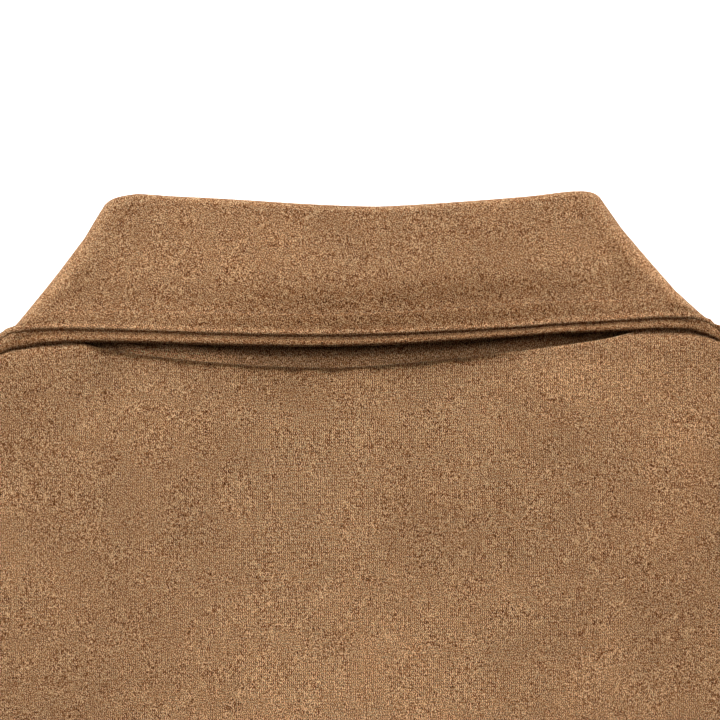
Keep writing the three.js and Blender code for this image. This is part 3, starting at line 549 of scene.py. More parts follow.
collar = {
    "fallWall": 2.0, "edgeWall": 2.6, "edgeBand": 8, "rollRadius": 2.0, "standTurn": 6,
    "rollLowX": 9, "rollLowY": 52.3, "rollRise": 5.7, "rollReach": 87, "rollPower": 1.35, "rollShift": -1.8,
    "middleHeight": 8.55, "standRadius": 3.35, "fallRadius": 7.35,
    "edgeMiddleY": 7.45, "edgeRise": 3.6, "edgeLowX": -6, "edgeLift": 1.7, "edgeDrop": 1.75,
    "rollSwell": (-48, 32, 0.7), "rollDrift": 12, "rollDriftSkew": -2, "edgeDrift": 30, "edgeDriftSkew": 1,
    "frontRollY": -50, "endX": 24, "leafPoint": (72, -125), "leafControl": (126, -62), "standWall": 1.8,
    "liftPower": 2.2, "liftGrowth": 1.4, "axisStep": 0.15, "edgeOver": 5.8, "shiftFrom": (10, 60),
}
sideFold = {  # outline of the collar at its side folds, seen from above
    "along": [0, 0.2, 0.4, 0.6, 0.78, 0.9, 1],
    "x": [86.0, 92.6, 100.9, 109.3, 117.2, 124.0, 131.5],
    "y": [57.0, 46.6, 36.2, 26.2, 18.0, 12.8, 9.0],
    "lean": [0, -0.1, -0.45, -0.9, -0.3, 0, 0],  # both sides of the collar lean this far to the left
}
edgeNudge = {  # small rises and dips of the outer edge, unlike on the two sides
    "xs": [
        -126, -121.4, -117.3, -113.8, -110.4, -107, -103.5, -96.6, -83, -60, -30, 0, 50, 69, 83, 97,
        110, 114, 117.4, 120.8, 124.3, 130,
    ],
    "rise": [
        -2.2, -1.7, -1.4, -0.7, -0.5, -0.8, -1.0, -0.9, -0.75, -0.7, -0.45, -0.35, -0.2, 0.1, -0.1, 0.0,
        0.65, 0.7, -0.3, -0.8, -1.4, -1.9,
    ],
}
edgeSlip = {  # share of its slip along the side fold that the edge has made at a turn in degrees
    "turn": [0, 20, 27, 32, 45, 90, 180],
    "share": [0, 0.12, 0.22, 0.34, 0.44, 0.57, 0.72],
}
edgeProfile = {  # half walls beside the outer edge: a rolled edge, a deep groove, then a soft ridge
    "distance": [
        0, 0.35, 0.45, 0.6, 0.8, 1.1, 1.6, 2.0, 2.3, 2.5, 2.7, 2.9, 3.15, 3.5, 3.8, 4.1, 4.4, 4.7, 5.0,
        5.4, 5.8, 6.3, 7, 8.6, 10.4, 11.0, 11.5, 12.0, 12.6, 15, 22,
    ],
    "outer": [
        0.72, 0.75, 1.1, 1.32, 1.46, 1.52, 1.46, 1.34, 1.2, 1.0, 0.75, 0.45, 0.25, 0.2, 0.3, 0.6, 0.98,
        1.3, 1.52, 1.64, 1.6, 1.5, 1.44, 1.4, 1.38, 1.28, 1.08, 1.26, 1.3, 1.2, 1.0,
    ],
}
# Painted shade on the rolled edge and in its groove, a painted highlight on the ridge, and painted shade
# down past the topstitching.
edgeLightAndShade = {  # painted light and shade beside the edge, its groove and the topstitching: how much lighter or darker the nap is drawn
    "distance": [
        0, 0.6, 1.3, 2.0, 2.4, 2.8, 3.3, 3.8, 4.3, 4.8, 5.2, 5.7, 6.2, 6.8, 7.5, 8.5, 9.6, 10.4, 10.9,
        11.5, 12.1, 12.7, 14, 16, 18, 21, 25, 29,
    ],
    "tones": [
        -0.36, -0.37, -0.34, -0.18, -0.26, -0.5, -0.48, -0.48, -0.38, -0.04, 0.06, 0.13, -0.1, -0.24,
        -0.28, -0.26, -0.22, -0.26, -0.14, -0.12, -0.1, -0.18, -0.24, -0.26, -0.25, -0.17, -0.05, 0,
    ],
}
bandShare = {  # the edge band is wider on the left and narrower on the right
    "x": [-124, -113, -100, -80, 0, 60, 83, 112], "share": [1.3, 1.25, 1.06, 0.96, 0.9, 0.72, 0.78, 0.95],
}
edgeInner = {"fromEdge": [0, 0.35, 0.45, 0.7, 1.3, 8, 14], "inner": [-0.05, -0.05, 0.3, 0.7, 1.2, 1.2, 1.0]}


def foldSide(along):  # x and y of the side fold's outline
    return [np.interp(along, sideFold["along"], sideFold[axis]) for axis in ("x", "y")]


def foldBow(along):  # how far it bows in from the straight line between its ends
    ends = [(sideFold[axis][0], sideFold[axis][-1]) for axis in ("x", "y")]
    return [value - mix(first, last, along) for value, (first, last) in zip(foldSide(along), ends)]


def fallRadiusAt(along, upShare, sideways):  # the fall's edge lifts off the back only in the middle
    lift = mix(collar["edgeLift"], -collar["edgeDrop"], np.abs(sideways) ** collar["liftPower"])
    return collar["fallRadius"] + upShare * lift * along ** collar["liftGrowth"]


def foldPoint(along, degrees, side):
    # Plan and outward direction of the side fold at a turn from back (90) to front (-90). It slips along
    # the fold by drift * (slip - 0.5): slip is even round the roll, and follows edgeSlip at the edge.
    x, y = foldSide(along)
    step = collar["axisStep"]
    (x1, y1), (x0, y0) = foldSide(min(1, along + step)), foldSide(max(0, along - step))
    axis = unitRows(np.array([x1 - x0, y1 - y0]))
    out = np.array([-axis[1], axis[0]])
    turn = 90 - np.asarray(degrees, float)
    atEdge = sum(np.interp(turn + away, edgeSlip["turn"], edgeSlip["share"]) for away in (-3, 0, 3)) / 3
    slip = mix(turn / 180, atEdge, along ** 3)
    rollDrift = collar["rollDrift"] + collar["rollDriftSkew"] * side
    drift = mix(rollDrift, collar["edgeDrift"] + collar["edgeDriftSkew"] * side, along) * (slip - 0.5)
    back = float(fallRadiusAt(along, 0.5, 1)) + collar["fallWall"] / 2
    return np.array([x, y]) - out * back + axis * np.asarray(drift)[..., None], out


def rollY(x):  # the collar's folded top edge, a little higher towards both ends
    share = np.abs(x - collar["rollLowX"]) / collar["rollReach"]
    swellX, reach, rise = collar["rollSwell"]
    rise = collar["rollRise"] * share ** collar["rollPower"] + rise * bell(x - swellX, reach)
    return collar["rollLowY"] + rise


def edgeLine(b, cornerX, cornerY):  # low near the middle, level further out, then to the side fold's corner
    share = np.minimum(1, np.abs(cornerX * b - collar["edgeLowX"] * (1 - b * b)) / cornerX)
    level = collar["edgeMiddleY"] + collar["edgeRise"]
    drop = (cornerY - level) * smooth(0.88, 1, np.abs(b))
    return collar["edgeMiddleY"] + collar["edgeRise"] * smooth(0, 0.9, share) + drop


def collarStations(order):
    # Stations along the collar: |order| below 1 is the back, 1 to 2 passes round the side fold, and 2 to 3
    # is the hidden front as far as the leaf's point. Each has its turn, neck, roll and edge points in plan.
    side = np.where(order < 0, -1.0, 1.0)
    b, size = np.clip(order, -1, 1), np.abs(order)
    degrees = np.where(size <= 1, 90, np.where(size >= 2, -90, 90 - 180 * (size - 1)))
    g = np.clip(size - 2, 0, 1)
    rollCorner, rollOut = foldPoint(0, 90, side)
    edgeCorner, edgeOut = foldPoint(1, 90, side)
    foldRoll, foldEdge = foldPoint(0, degrees, side)[0], foldPoint(1, degrees, side)[0]
    frontRoll, frontEdge = foldPoint(0, -90, 1)[0], foldPoint(1, -90, side)[0]
    isBack, isFront = (size < 1)[:, None], (size > 2)[:, None]
    leftX, rightX = (float(foldPoint(0, 90, end)[0][0]) for end in (-1, 1))
    backRollX = mix(-leftX, rightX, (b + 1) / 2)
    cornerRise = smooth(0.8, 1, np.abs(b)) * (rollCorner[:, 1] - rollY(side * rollCorner[:, 0]))
    backRoll = np.stack([backRollX, rollY(backRollX) + cornerRise], 1)
    backEdge = np.stack([edgeCorner[:, 0] * b, edgeLine(b, edgeCorner[:, 0], edgeCorner[:, 1])], 1)
    backNeck = np.stack([neck["half"] * b, backNeckY(neck["half"] * b)], 1)
    neckX = mix(neck["half"], collar["endX"], g ** 0.9)
    rollX = mix(frontRoll[0], collar["endX"], g)
    rollDrop = mix(collar["frontRollY"], frontRoll[1], (rollX / frontRoll[0]) ** neck["frontPower"])
    mirror = np.stack([side, np.ones_like(side)], 1)
    frontNeck = np.stack([neckX, frontNeckY(neckX)], 1) * mirror
    frontRolls = np.stack([rollX, rollDrop], 1) * mirror
    frontEdges = quadratic(frontEdge, collar["leafControl"], collar["leafPoint"], g) * mirror
    turnNeck = np.array([[neck["half"], neck["shoulderRise"]]]) * mirror

    def pick(onBack, onFold, onFront):  # each station takes the value of its own part of the collar
        return np.where(isBack, onBack, np.where(isFront, onFront, onFold))

    edges = pick(backEdge, foldEdge * mirror, frontEdges)
    seenX = edges[:, 0] + side * (size > 1) * collar["edgeOver"] * edgeOut[0] * np.cos(np.radians(degrees))
    nudge = np.interp(seenX, edgeNudge["xs"], edgeNudge["rise"]) * smooth(-50, 10, degrees)
    edges = edges + np.stack([np.zeros_like(nudge), nudge], 1)
    plainOut = np.stack([side, np.zeros_like(side)], 1)
    bowBack, bowFront = b * np.abs(b) ** 5, side * (1 - g) ** 2
    return {
        "degrees": degrees, "sideways": np.where(size < 1, b, 1.0), "turning": (size >= 1) & (size <= 2),
        "bow": np.where(size < 1, bowBack, np.where(size > 2, bowFront, side)),
        "neck": pick(backNeck, turnNeck, frontNeck),
        "roll": pick(backRoll, foldRoll * mirror, frontRolls),
        "edge": edges,
        "out": pick(plainOut, rollOut * mirror, plainOut),
        "edgeOut": pick(plainOut, edgeOut * mirror, plainOut),
    }


def aroundFold(plan, out, radius, degrees):  # a point at a radius about the side fold's axis
    turn = np.radians(degrees)
    x = plan[..., 0] + out[..., 0] * radius * np.cos(turn)
    y = plan[..., 1] + out[..., 1] * radius * np.cos(turn)
    z = collar["middleHeight"] + radius * np.sin(turn)
    return np.stack([x + collar["rollShift"] * smooth(*collar["shiftFrom"], y), y, z], -1)


# Back

backPiece = {
    "fineReach": 126, "fineStep": 1.7, "coarseStep": 4.4, "fineRows": 126, "seamRise": 0.8,
    "seamReach": 3.4, "swellRise": 1.9, "swellFromEdge": 3.5, "swellBelow": 11, "swellAbove": 2.6,
    "swellFrom": (50, 96), "swellTo": (128, 140), "ripples": [(0.22, 34, 1), (0.35, 80, 2)], "pucker": 0.12,
    # darkening at the neck seam: the seam's own dark line with painted shade on its rounded edge, then
    # painted shade from the collar fading below it
    "puckerPitch": 7.5, "seamLineAndShade": 0.46, "seamShade": 0.22, "seamShadeReach": 3.2, "seamHidden": (38, 68),
    "furrow": 0.45,
}


def roundInsets():  # distances from a folded edge that follow its quarter round
    turn = np.linspace(0, np.pi / 2, body["roundPoints"])
    return body["roundReach"] * (1 - np.cos(turn))


def halfWidthAt(drop):  # half width of the body at a drop below the shoulder point
    ax, ay = armhole(np.linspace(0.02, 1, 50))
    sx, sy = sideSeam(np.linspace(0.01, 1, 40))
    xs = np.concatenate([[body["shoulderX"]] * 2, ax, sx])
    drops = np.concatenate([[0, body["roundReach"]], shoulderPoint[1] - ay, shoulderPoint[1] - sy])
    return np.interp(drop, drops, xs)


def rowY(x, top, drops):  # the first rows keep their distance from the top edge, the others share the rest
    reach = body["roundReach"]
    rest = (drops - reach) * (top - hemLine(x) - reach) / (sideDrop - reach)
    return np.where(drops <= reach, top - drops, top - reach - rest)


def bodyGrid(shares, insets, drops):  # a column keeps its share of the half width, less its inset
    x = shares[:, None] * (halfWidthAt(drops)[None, :] - insets[:, None])
    return x, rowY(x, backTop(shares * (body["shoulderX"] - insets))[:, None], drops)


def backTop(x):  # the neck seam's curve in the middle, the shoulder lines beside it
    return np.where(np.abs(x) < neck["half"], backNeckY(x), shoulderY(x))


def rowDrops(fineTo, fineStep, coarseStep):  # drops of the rows: a round, fine, coarse, then the hem's fold
    start = [0, 1.0, 1.7, 2.6, body["roundReach"]]
    fine = np.arange(body["roundReach"] + fineStep, fineTo, fineStep)
    hemStart = sideDrop - body["hemDepth"]
    coarse = np.arange(fineTo, hemStart - 3, coarseStep)
    step = [hemStart - 1.2, hemStart, hemStart + 1.2]
    hem = np.linspace(hemStart + 3, sideDrop - 1.6, 8)
    return np.concatenate([start, fine, coarse, step, hem, [sideDrop]])


def hemFold(drops):  # turned-up cloth inside the hem
    return body["hemStep"] * smooth(sideDrop - body["hemDepth"] - 1, sideDrop - body["hemDepth"] + 1, drops)


def hemFurrow(drops, depth):  # the line where the hem's stitches pull the cloth in
    return depth * bell(drops - (sideDrop - body["hemDepth"] + body["hemStitchIn"]), 1.1)


def endSwell(x, y):
    # Towards the collar's two ends the back rises to meet its edge: a ridge just below the edge, which is
    # swellRise * bell(distance / swellBelow) on the side of the hem and steeper under the collar.
    p = backPiece
    corner = foldPoint(1, 90, np.sign(x))[0]
    line = edgeLine(np.clip(x / corner[..., 0], -1, 1), corner[..., 0], corner[..., 1])
    away = y - (line - p["swellFromEdge"])
    ridge = np.where(away < 0, bell(away, p["swellBelow"]), bell(away, p["swellAbove"]))
    atEnds = smooth(*p["swellFrom"], np.abs(x)) * (1 - smooth(*p["swellTo"], np.abs(x)))
    return p["swellRise"] * ridge * atEnds


def backRipple(x, y, edge):  # the small unevenness of cloth lying flat, none beside the folded edges
    return smooth(0, layers["calmReach"], edge) * ripples(x, y, backPiece["ripples"])


def makeBack():
    # Height is the upper layer's, rounded off at the folded sides, plus a swell along the neck seam, soft
    # ripples, the swell at the collar's ends and the seam's puckers, a sine along x that fades below it.
    p = backPiece
    insets = roundInsets()
    limit = p["fineReach"] / (body["shoulderX"] - body["roundReach"])
    fine = np.linspace(-limit, limit, int(2 * p["fineReach"] / p["fineStep"]))
    outside = np.linspace(limit, 1, int((body["shoulderX"] - p["fineReach"]) / p["coarseStep"]))[1:-1]
    count = len(insets)
    shares = np.concatenate([[-1] * count, -outside[::-1], fine, outside, [1] * count])
    between = np.full(len(shares) - 2 * count, body["roundReach"])
    allInsets = np.concatenate([insets, between, insets[::-1]])
    drops = rowDrops(p["fineRows"], p["fineStep"], p["coarseStep"])
    x, y = bodyGrid(shares, allInsets, drops)
    edge = bodyEdge(x, y)
    z = turned(upperHeight(x, y, edge), underHeight(x, y), edge)
    inNeck = 1 - smooth(neck["half"] - 4, neck["half"] + 1, np.abs(x))
    z += p["seamRise"] * bell(drops[None, :], p["seamReach"]) * inNeck
    z += backRipple(x, y, edge)
    z += endSwell(x, y)
    pucker = puckers(x, p["puckerPitch"], 2 * softWaves(x, y, 30, 3)) * bell(drops[None, :] - 3, 5)
    z += p["pucker"] * pucker * inNeck
    grid = np.stack([x, y, z], -1)
    half = layers["wall"] / 2
    outer = half - hemFurrow(drops, p["furrow"])[None, :]
    inner = half + hemFold(drops)[None, :]
    cut = np.stack([x, y], -1)
    # A tone from the seam down: its own dark line with painted shade on its edge, and painted shade from
    # the collar below it.
    below = np.maximum(0, drops[None, :] + 0.35 * softWaves(x, y, 9, 8))
    seamTone = p["seamLineAndShade"] * bell(below - 0.4, 1.0)
    seamTone += p["seamShade"] * np.exp(-below / p["seamShadeReach"])
    seamTone = seamTone * inNeck * (1 - smooth(*p["seamHidden"], x))  # the seam's line and its painted shade fade out towards the right
    tone = patchToneAndShade(x, y) - seamTone
    return clothShell(
        "backCloth", grid, outer, inner, cut, tone, waleStrength(x, y), [suede, backing], flip=True,
    )


backCloth = makeBack()
print("back ready")


# Fronts: the left one is outermost, so nearest the table, and the right one lies on it where they overlap

frontPiece = {
    "step": 4.6, "fineRows": 150, "fineStep": 3.4, "coarseStep": 5.2, "lapNear": 1.5, "lapFar": 9,
    "straightTo": 32, "furrow": 0.25,  # columns nearer the middle than straightTo run straight down
}


def makeFront(side, name):
    # Height is the lower layer's, rounded up at the folded side. Columns run straight down near the middle
    # and fan out with the half width beyond it. The right front is lifted by one wall where they overlap.
    p = frontPiece
    insets = roundInsets()
    reach = body["roundReach"]
    centre = -body["overlap"]
    inner = np.arange(centre, body["shoulderX"] - reach, p["step"])
    inner[:2] = centre, centre + 1.6
    topX = np.concatenate([inner, (body["shoulderX"] - insets)[::-1]])
    drops = rowDrops(p["fineRows"], p["fineStep"], p["coarseStep"])
    half = halfWidthAt(drops)
    straight = p["straightTo"]
    share = np.clip((topX - straight) / (body["shoulderX"] - reach - straight), 0, 1)
    rim = np.concatenate([np.zeros(len(inner)), insets[::-1]])
    isRim = np.arange(len(topX)) >= len(inner)
    spread = straight + share[:, None] * (half[None, :] - reach - straight)
    x = np.where(topX[:, None] < straight, topX[:, None], spread)
    x = np.where(isRim[:, None], half[None, :] - rim[:, None], x)
    top = np.where(topX < neck["half"], frontNeckY(np.maximum(0, topX)), shoulderY(topX))[:, None]
    y = rowY(x, top, drops)
    edge = bodyEdge(x, y)
    z = turned(underHeight(x, y), upperHeight(x, y, edge), edge)
    if side > 0:
        lap = layers["wall"] + layers["seamGap"]
        z += lap * (1 - smooth(body["overlap"] + p["lapNear"], body["overlap"] + p["lapFar"], x))
    grid = np.stack([x * side, y, z], -1)
    half = layers["wall"] / 2
    inside = half - hemFurrow(drops, p["furrow"])[None, :]
    cut = np.stack([x * side, y], -1)
    tone = 0.02 * softWaves(x, y, 70, 11)
    return clothShell(name, grid, half, inside, cut, tone, plainWales, [suede, backing], flip=side < 0)


frontLeft = makeFront(-1, "frontLeftCloth")
frontRight = makeFront(1, "frontRightCloth")
print("fronts ready")


# Sleeves

sleevePiece = {
    "rings": 130, "across": 44, "length": 560, "bulgeReach": 0.42, "bulgePower": 1.5, "ripple": 0.3,
    "pucker": 0.18, "puckerPitch": 9, "seamDip": 0.7, "furrow": 0.4,
}


def armholeRoot(count):
    # Points of the armhole from shoulder to underarm, moved just clear of it, with shares of the width.
    # The first and last few follow the quarter rounds of the two folded edges.
    insets = roundInsets()
    reach = body["roundReach"]
    dense = np.concatenate([
        [[body["shoulderX"], shoulderPoint[1]], [body["shoulderX"], shoulderPoint[1] - reach]],
        np.stack(armhole(np.linspace(0.03, 1, 80)), 1),
    ])
    reached = lengthAlong(dense)
    total = reached[-1]
    between = np.linspace(reach, total - reach, count)[1:-1]
    distance = np.concatenate([insets, between, total - insets[::-1]])
    tangent = unitRows(pointsAt(distance + 2, reached, dense) - pointsAt(distance - 2, reached, dense))
    clear = mix(sleeve["rootClear"], sleeve["pitClear"], smooth(0.75, 0.95, distance / total))
    square = np.stack([-tangent[:, 1], tangent[:, 0]], 1)
    return pointsAt(distance, reached, dense) + square * clear[:, None], distance, total


def makeSleeve(side, name):
    # A flat tube: rows go across from the top fold to the under fold and back on the underside. The
    # armhole's curve fades out along the sleeve, and the two layers meet half way at the folds.
    p = sleevePiece
    reach = body["roundReach"]
    seam, distance, total = armholeRoot(p["across"])
    share = (distance - reach) / (total - 2 * reach)
    nearTop = np.arange(len(distance)) < body["roundPoints"]
    nearUnder = np.arange(len(distance)) >= len(distance) - body["roundPoints"]
    t = np.concatenate([[0, 0.0025], np.linspace(0, 1, p["rings"])[1:-1] ** 1.05, [0.9975, 1]])
    top, bottom = topLine(t), underLine(t)

    def across(start, end):  # from fold to fold, with fixed distances inside the two rounds
        width = np.linalg.norm(end - start, axis=-1)
        away = reach + share[:, None] * (width[None, :] - 2 * reach)
        away = np.where(nearTop[:, None], distance[:, None], away)
        away = np.where(nearUnder[:, None], width[None, :] - (total - distance)[:, None], away)
        return start[None] + (end - start)[None] * (away / width[None, :])[..., None]

    straight = across(top, bottom)
    rootStraight = across(np.array([shoulderPoint]), underStart[None])
    bulge = (1 - smooth(0, p["bulgeReach"], t)) ** p["bulgePower"]
    plan = straight + (seam[:, None] - rootStraight) * bulge[None, :, None]
    x, y = plan[..., 0], plan[..., 1]
    edge = sleeveEdge(x, y)
    edge = np.where(nearTop[:, None], distance[:, None], edge)
    edge = np.where(nearUnder[:, None], (total - distance)[:, None], edge)
    upper, lower = upperHeight(x * side, y, edge), underHeight(x, y)
    run = t * p["length"]
    pucker = puckers(y, p["puckerPitch"], 3 * softWaves(x, y, 40, 6)) * bell(run, 9)[None, :]
    waves = p["ripple"] * softWaves(x * side, y, 60, 7 + side) + p["pucker"] * pucker
    ripple = smooth(0, 14, edge) * waves
    seamDip = p["seamDip"] * bell(run, 2.2)[None, :] * smooth(2, 10, edge)
    upperZ = turned(upper, lower, edge) + ripple - seamDip
    lowerZ = turned(lower, upper, edge)
    middle = (upper + lower) / 2
    upperZ[[0, -1]] = middle[[0, -1]]
    upperSide = np.stack([x * side, y, upperZ], -1)
    lowerSide = np.stack([x * side, y, lowerZ], -1)[1:-1][::-1]
    grid = np.concatenate([upperSide, lowerSide])
    if side < 0:
        grid = grid[::-1]
    hem = smooth(sleeve["cuffStart"] - 0.002, sleeve["cuffStart"] + 0.002, t)[None, :]
    furrow = p["furrow"] * bell((t - sleeve["cuffStart"] - 0.006) * p["length"], 1.1)[None, :]
    half = layers["wall"] / 2
    cut = cutLengths(grid)
    tone = 0.03 * softWaves(grid[..., 0], grid[..., 1], 80, 12)
    inside = half + body["hemStep"] * hem
    return clothShell(name, grid, half - furrow, inside, cut, tone, plainWales, [suede, backing], ring=True)


sleeveLeft = makeSleeve(-1, "sleeveLeftCloth")
sleeveRight = makeSleeve(1, "sleeveRightCloth")
print("sleeves ready")


# Collar

collarPiece = {
    "stations": (360, 26, 34), "fallRows": 30, "rollRows": 11, "rippleMm": 0.10, "frayMm": 0.08,
    "fray": (1.6, 24), "stitchPitch": 3.2, "stitchDent": 0.18, "topstitchAt": 11.5, "edgeStitchAt": 3.4,
    # painted light and shade where the stitches pull the ridge, and a painted sheen on the side folds
    "ripples": [(0.16, 26, 21), (0.22, 60, 22)], "wales": 0.35, "pullLightAndShade": 0.24, "foldPaintedSheen": 0.12,
    "noEdge": 60,
    "fromEdge": [
        0, 0.45, 0.6, 0.8, 1.1, 1.5, 1.9, 2.15, 2.35, 2.55, 2.7, 2.85, 3.0, 3.15, 3.3, 3.45, 3.6, 3.8,
        4.0, 4.25, 4.5, 4.8, 5.3, 5.8, 6.5, 7.5, 8.7, 9.7, 10.5, 10.9, 11.2, 11.45, 11.7, 12, 12.5,
        13.2, 14.5,
    ],
}
nearEdge = {  # rows lie square to the edge as far as "from", and on the station beyond "to" or "toBack"
    "from": 4.5, "to": 7, "toBack": 13, "backTurn": (50, 88), "seenTurn": (5, 65), "bandTo": 9,
    "foldBand": 0.72, "foldTurn": (40, 80), "leastSlant": 0.5,
}
standPiece = {
    "stations": (150, 20, 26), "clear": 0.5, "startMiddle": -2.5, "startSide": 1.6, "dip": 1.95,
    # painted light at the left; painted shade towards the right, close under the fall's edge and along the
    # seam at the left
    "dipFrom": (-0.3, 2.4), "pucker": 0.12, "puckerPitch": 8, "tone": -0.04, "leftPaintedLight": 0.95,
    "leftAt": -76, "leftReach": 30, "leftLightFrom": (0.8, 1.9), "rightShade": 0.1, "rightFrom": (45, 75),
    "edgeShade": 0.58, "seamShade": 0.3, "seamShadeAt": -80,
}


def stationOrder(back, fold, front):  # even steps over the back, each side fold and each hidden front
    backOrder = np.linspace(-1, 1, back)
    foldOrder = 1 + np.linspace(0, 1, fold)[1:]
    frontOrder = 2 + np.linspace(0, 1, front)[1:]
    half = np.concatenate([foldOrder, frontOrder])
    return np.concatenate([-half[::-1], backOrder, half])


def fallSurface(order, fromEdge, fallCount, rollCount, seenEdge=None):
    # Rows run from the outer edge up the fall, half round the roll and a little way down inside the neck.
    # Near the edge a row lies its distance square to the edge as seen from above. Farther up it lies on
    # the station's own line, at its distance over the sine of the angle between that line and the edge.
    p = nearEdge
    s = collarStations(order)
    if seenEdge is None:
        plainEdge = np.stack([order, np.zeros_like(order)], 1)
        seenEdge = fallSurface(order, np.array([0.0, 3.0]), 2, 2, plainEdge)[0][:, 0, :2]
    tangent = unitRows(np.gradient(seenEdge, axis=0))
    for _ in range(2):
        padded = np.pad(tangent, ((2, 2), (0, 0)), mode="edge")
        tangent = unitRows(sum(padded[k:k + len(tangent)] for k in range(5)))
    chord = unitRows(s["roll"] - s["edge"])
    fromAbove = smooth(*p["seenTurn"], s["degrees"])
    slant = np.abs(tangent[:, 0] * chord[:, 1] - tangent[:, 1] * chord[:, 0]).clip(p["leastSlant"], 1)
    slant = mix(1, slant, fromAbove)[:, None]
    across = np.stack([-tangent[:, 1], tangent[:, 0]], 1)[:, None]
    degrees = s["degrees"][:, None]
    upShare = (1 + np.sin(np.radians(degrees))) / 2
    length = np.linalg.norm(s["edge"] - s["roll"], axis=1)[:, None]
    band = np.interp(s["edge"][:, :1], bandShare["x"], bandShare["share"])
    width = mix(band, 1, smooth(p["from"], p["bandTo"], fromEdge)[None, :])
    width = width * mix(p["foldBand"], 1, smooth(*p["foldTurn"], degrees))
    near = fromEdge[None, :] * width / slant
    shares = np.linspace(0, 1, fallCount + 1)[1:]
    far = mix(near[:, -1:], length, shares[None, :])
    along = np.maximum(0, 1 - np.concatenate([near, far], axis=1) / length)
    distance = (1 - along) * length * slant
    squareReach = distance.copy()
    distance[:, :len(fromEdge)] = fromEdge
    squareReach[:, :len(fromEdge)] = fromEdge * width
    plan = s["roll"][:, None] + (s["edge"] - s["roll"])[:, None] * along[..., None]
    bowX, bowY = foldBow(along)
    lean = np.interp(along, sideFold["along"], sideFold["lean"]) * np.abs(s["bow"][:, None])
    plan = plan + np.stack([bowX * s["bow"][:, None] + lean, bowY * np.abs(s["bow"][:, None])], -1)
    nearTo = mix(p["to"], p["toBack"], smooth(*p["backTurn"], degrees))
    isNear = (1 - smooth(p["from"], nearTo, distance)) * fromAbove[:, None]
    plan = mix(plan, s["edge"][:, None] + across * squareReach[..., None], isNear[..., None])
    out = unitRows(s["out"][:, None] + (s["edgeOut"] - s["out"])[:, None] * along[..., None])
    flatWall = np.where(distance < collar["edgeBand"], collar["edgeWall"], collar["fallWall"]) / 2
    wallHere = mix(flatWall, np.interp(distance, edgeProfile["distance"], edgeProfile["outer"]), upShare)
    bottom = collar["middleHeight"] - np.maximum(wallHere, 1.0)
    radius = mix(bottom, fallRadiusAt(along, 1.0, s["sideways"][:, None]), upShare)
    fall = aroundFold(plan, out, radius, degrees)

    middle = (collar["fallRadius"] + collar["standRadius"]) / 2
    bottomMiddle = (collar["middleHeight"] - collar["fallWall"] / 2 + collar["standRadius"]) / 2
    centre = mix(bottomMiddle, middle, upShare)
    down = unitRows(s["edge"] - s["roll"])[:, None]
    standDown = unitRows(s["neck"] - s["roll"])[:, None]
    turn = np.linspace(0, 180, rollCount + 1)[1:]
    way = unitRows(mix(down, standDown, (turn / 180)[None, :, None]))
    reach = (collar["rollRadius"] * np.sin(np.radians(turn)))[None, :, None]
    rollPlan = s["roll"][:, None] - way * reach
    rollRadius = centre + (centre - collar["standRadius"]) * np.cos(np.radians(turn))[None, :]
    roll = aroundFold(rollPlan, np.broadcast_to(s["out"][:, None], rollPlan.shape), rollRadius, degrees)
    inside = []
    for share in (0.5, 1.0):
        insidePlan = s["roll"] + standDown[:, 0] * collar["standTurn"] * share
        inside.append(aroundFold(insidePlan, s["out"], collar["standRadius"], s["degrees"])[:, None])
    return np.concatenate([fall, roll, *inside], axis=1), distance, upShare, s


def outerWall(distance, upShare):  # the edge's section on the back, easing to the plain wall underneath
    section = np.interp(distance, edgeProfile["distance"], edgeProfile["outer"])
    return mix(collar["fallWall"] / 2, section, np.clip(upShare * 1.4, 0, 1))


def makeCollarFall():
    # The wall outside the middle surface is the edge's section, less the dents of the stitches. The tone is
    # the patches of tone and painted shade, plus painted light and shade beside the edge and where the
    # stitches pull the ridge, and a painted sheen on the side fold.
    p = collarPiece
    order = stationOrder(*p["stations"])
    grid, distance, upShare, s = fallSurface(order, np.array(p["fromEdge"]), p["fallRows"], p["rollRows"])
    x, y = grid[..., 0], grid[..., 1]
    extra = grid.shape[1] - distance.shape[1]
    distance = np.pad(distance, ((0, 0), (0, extra)), constant_values=p["noEdge"])
    onFall = smooth(14, 20, distance) * upShare
    frayed = p["frayMm"] * softWaves(x, y, *p["fray"]) * upShare[:, :1]
    grid[:, :3, 1] += frayed[:, :1]
    grid[..., 2] += onFall * ripples(x, y, p["ripples"])
    outer = outerWall(distance, upShare)
    run = lengthAlong(s["edge"])[:, None]
    pull = puckers(run, p["stitchPitch"], softWaves(x, y, 20, 23)) * 0.5 + 0.5
    outer = outer + p["rippleMm"] * (pull - 0.5) * (bell(distance - 5.2, 2.2) + bell(distance - 1.6, 1.0))
    outer = outer - p["stitchDent"] * pull * bell(distance - p["topstitchAt"], 0.6)
    inner = np.interp(distance, edgeInner["fromEdge"], edgeInner["inner"])
    rolled = np.broadcast_to(p["noEdge"] + np.arange(extra)[None, :] * 1.2, (len(order), extra))
    rowRun = np.concatenate([distance[:, :-extra], rolled], 1)
    cut = np.stack([np.broadcast_to(run, rowRun.shape), rowRun], -1)
    # Painted light and shade beside the edge and on the pulled ridge, and a painted sheen on the side fold.
    tone = patchToneAndShade(x, y) + np.interp(distance, edgeLightAndShade["distance"], edgeLightAndShade["tones"]) * upShare
    onFold = bell(s["degrees"][:, None] - 15, 35)
    tone += p["pullLightAndShade"] * (pull - 0.5) * bell(distance - 5.5, 0.7) + p["foldPaintedSheen"] * onFold
    return clothShell("collarFallCloth", grid, outer, inner, cut, tone, p["wales"], [suede, suede])


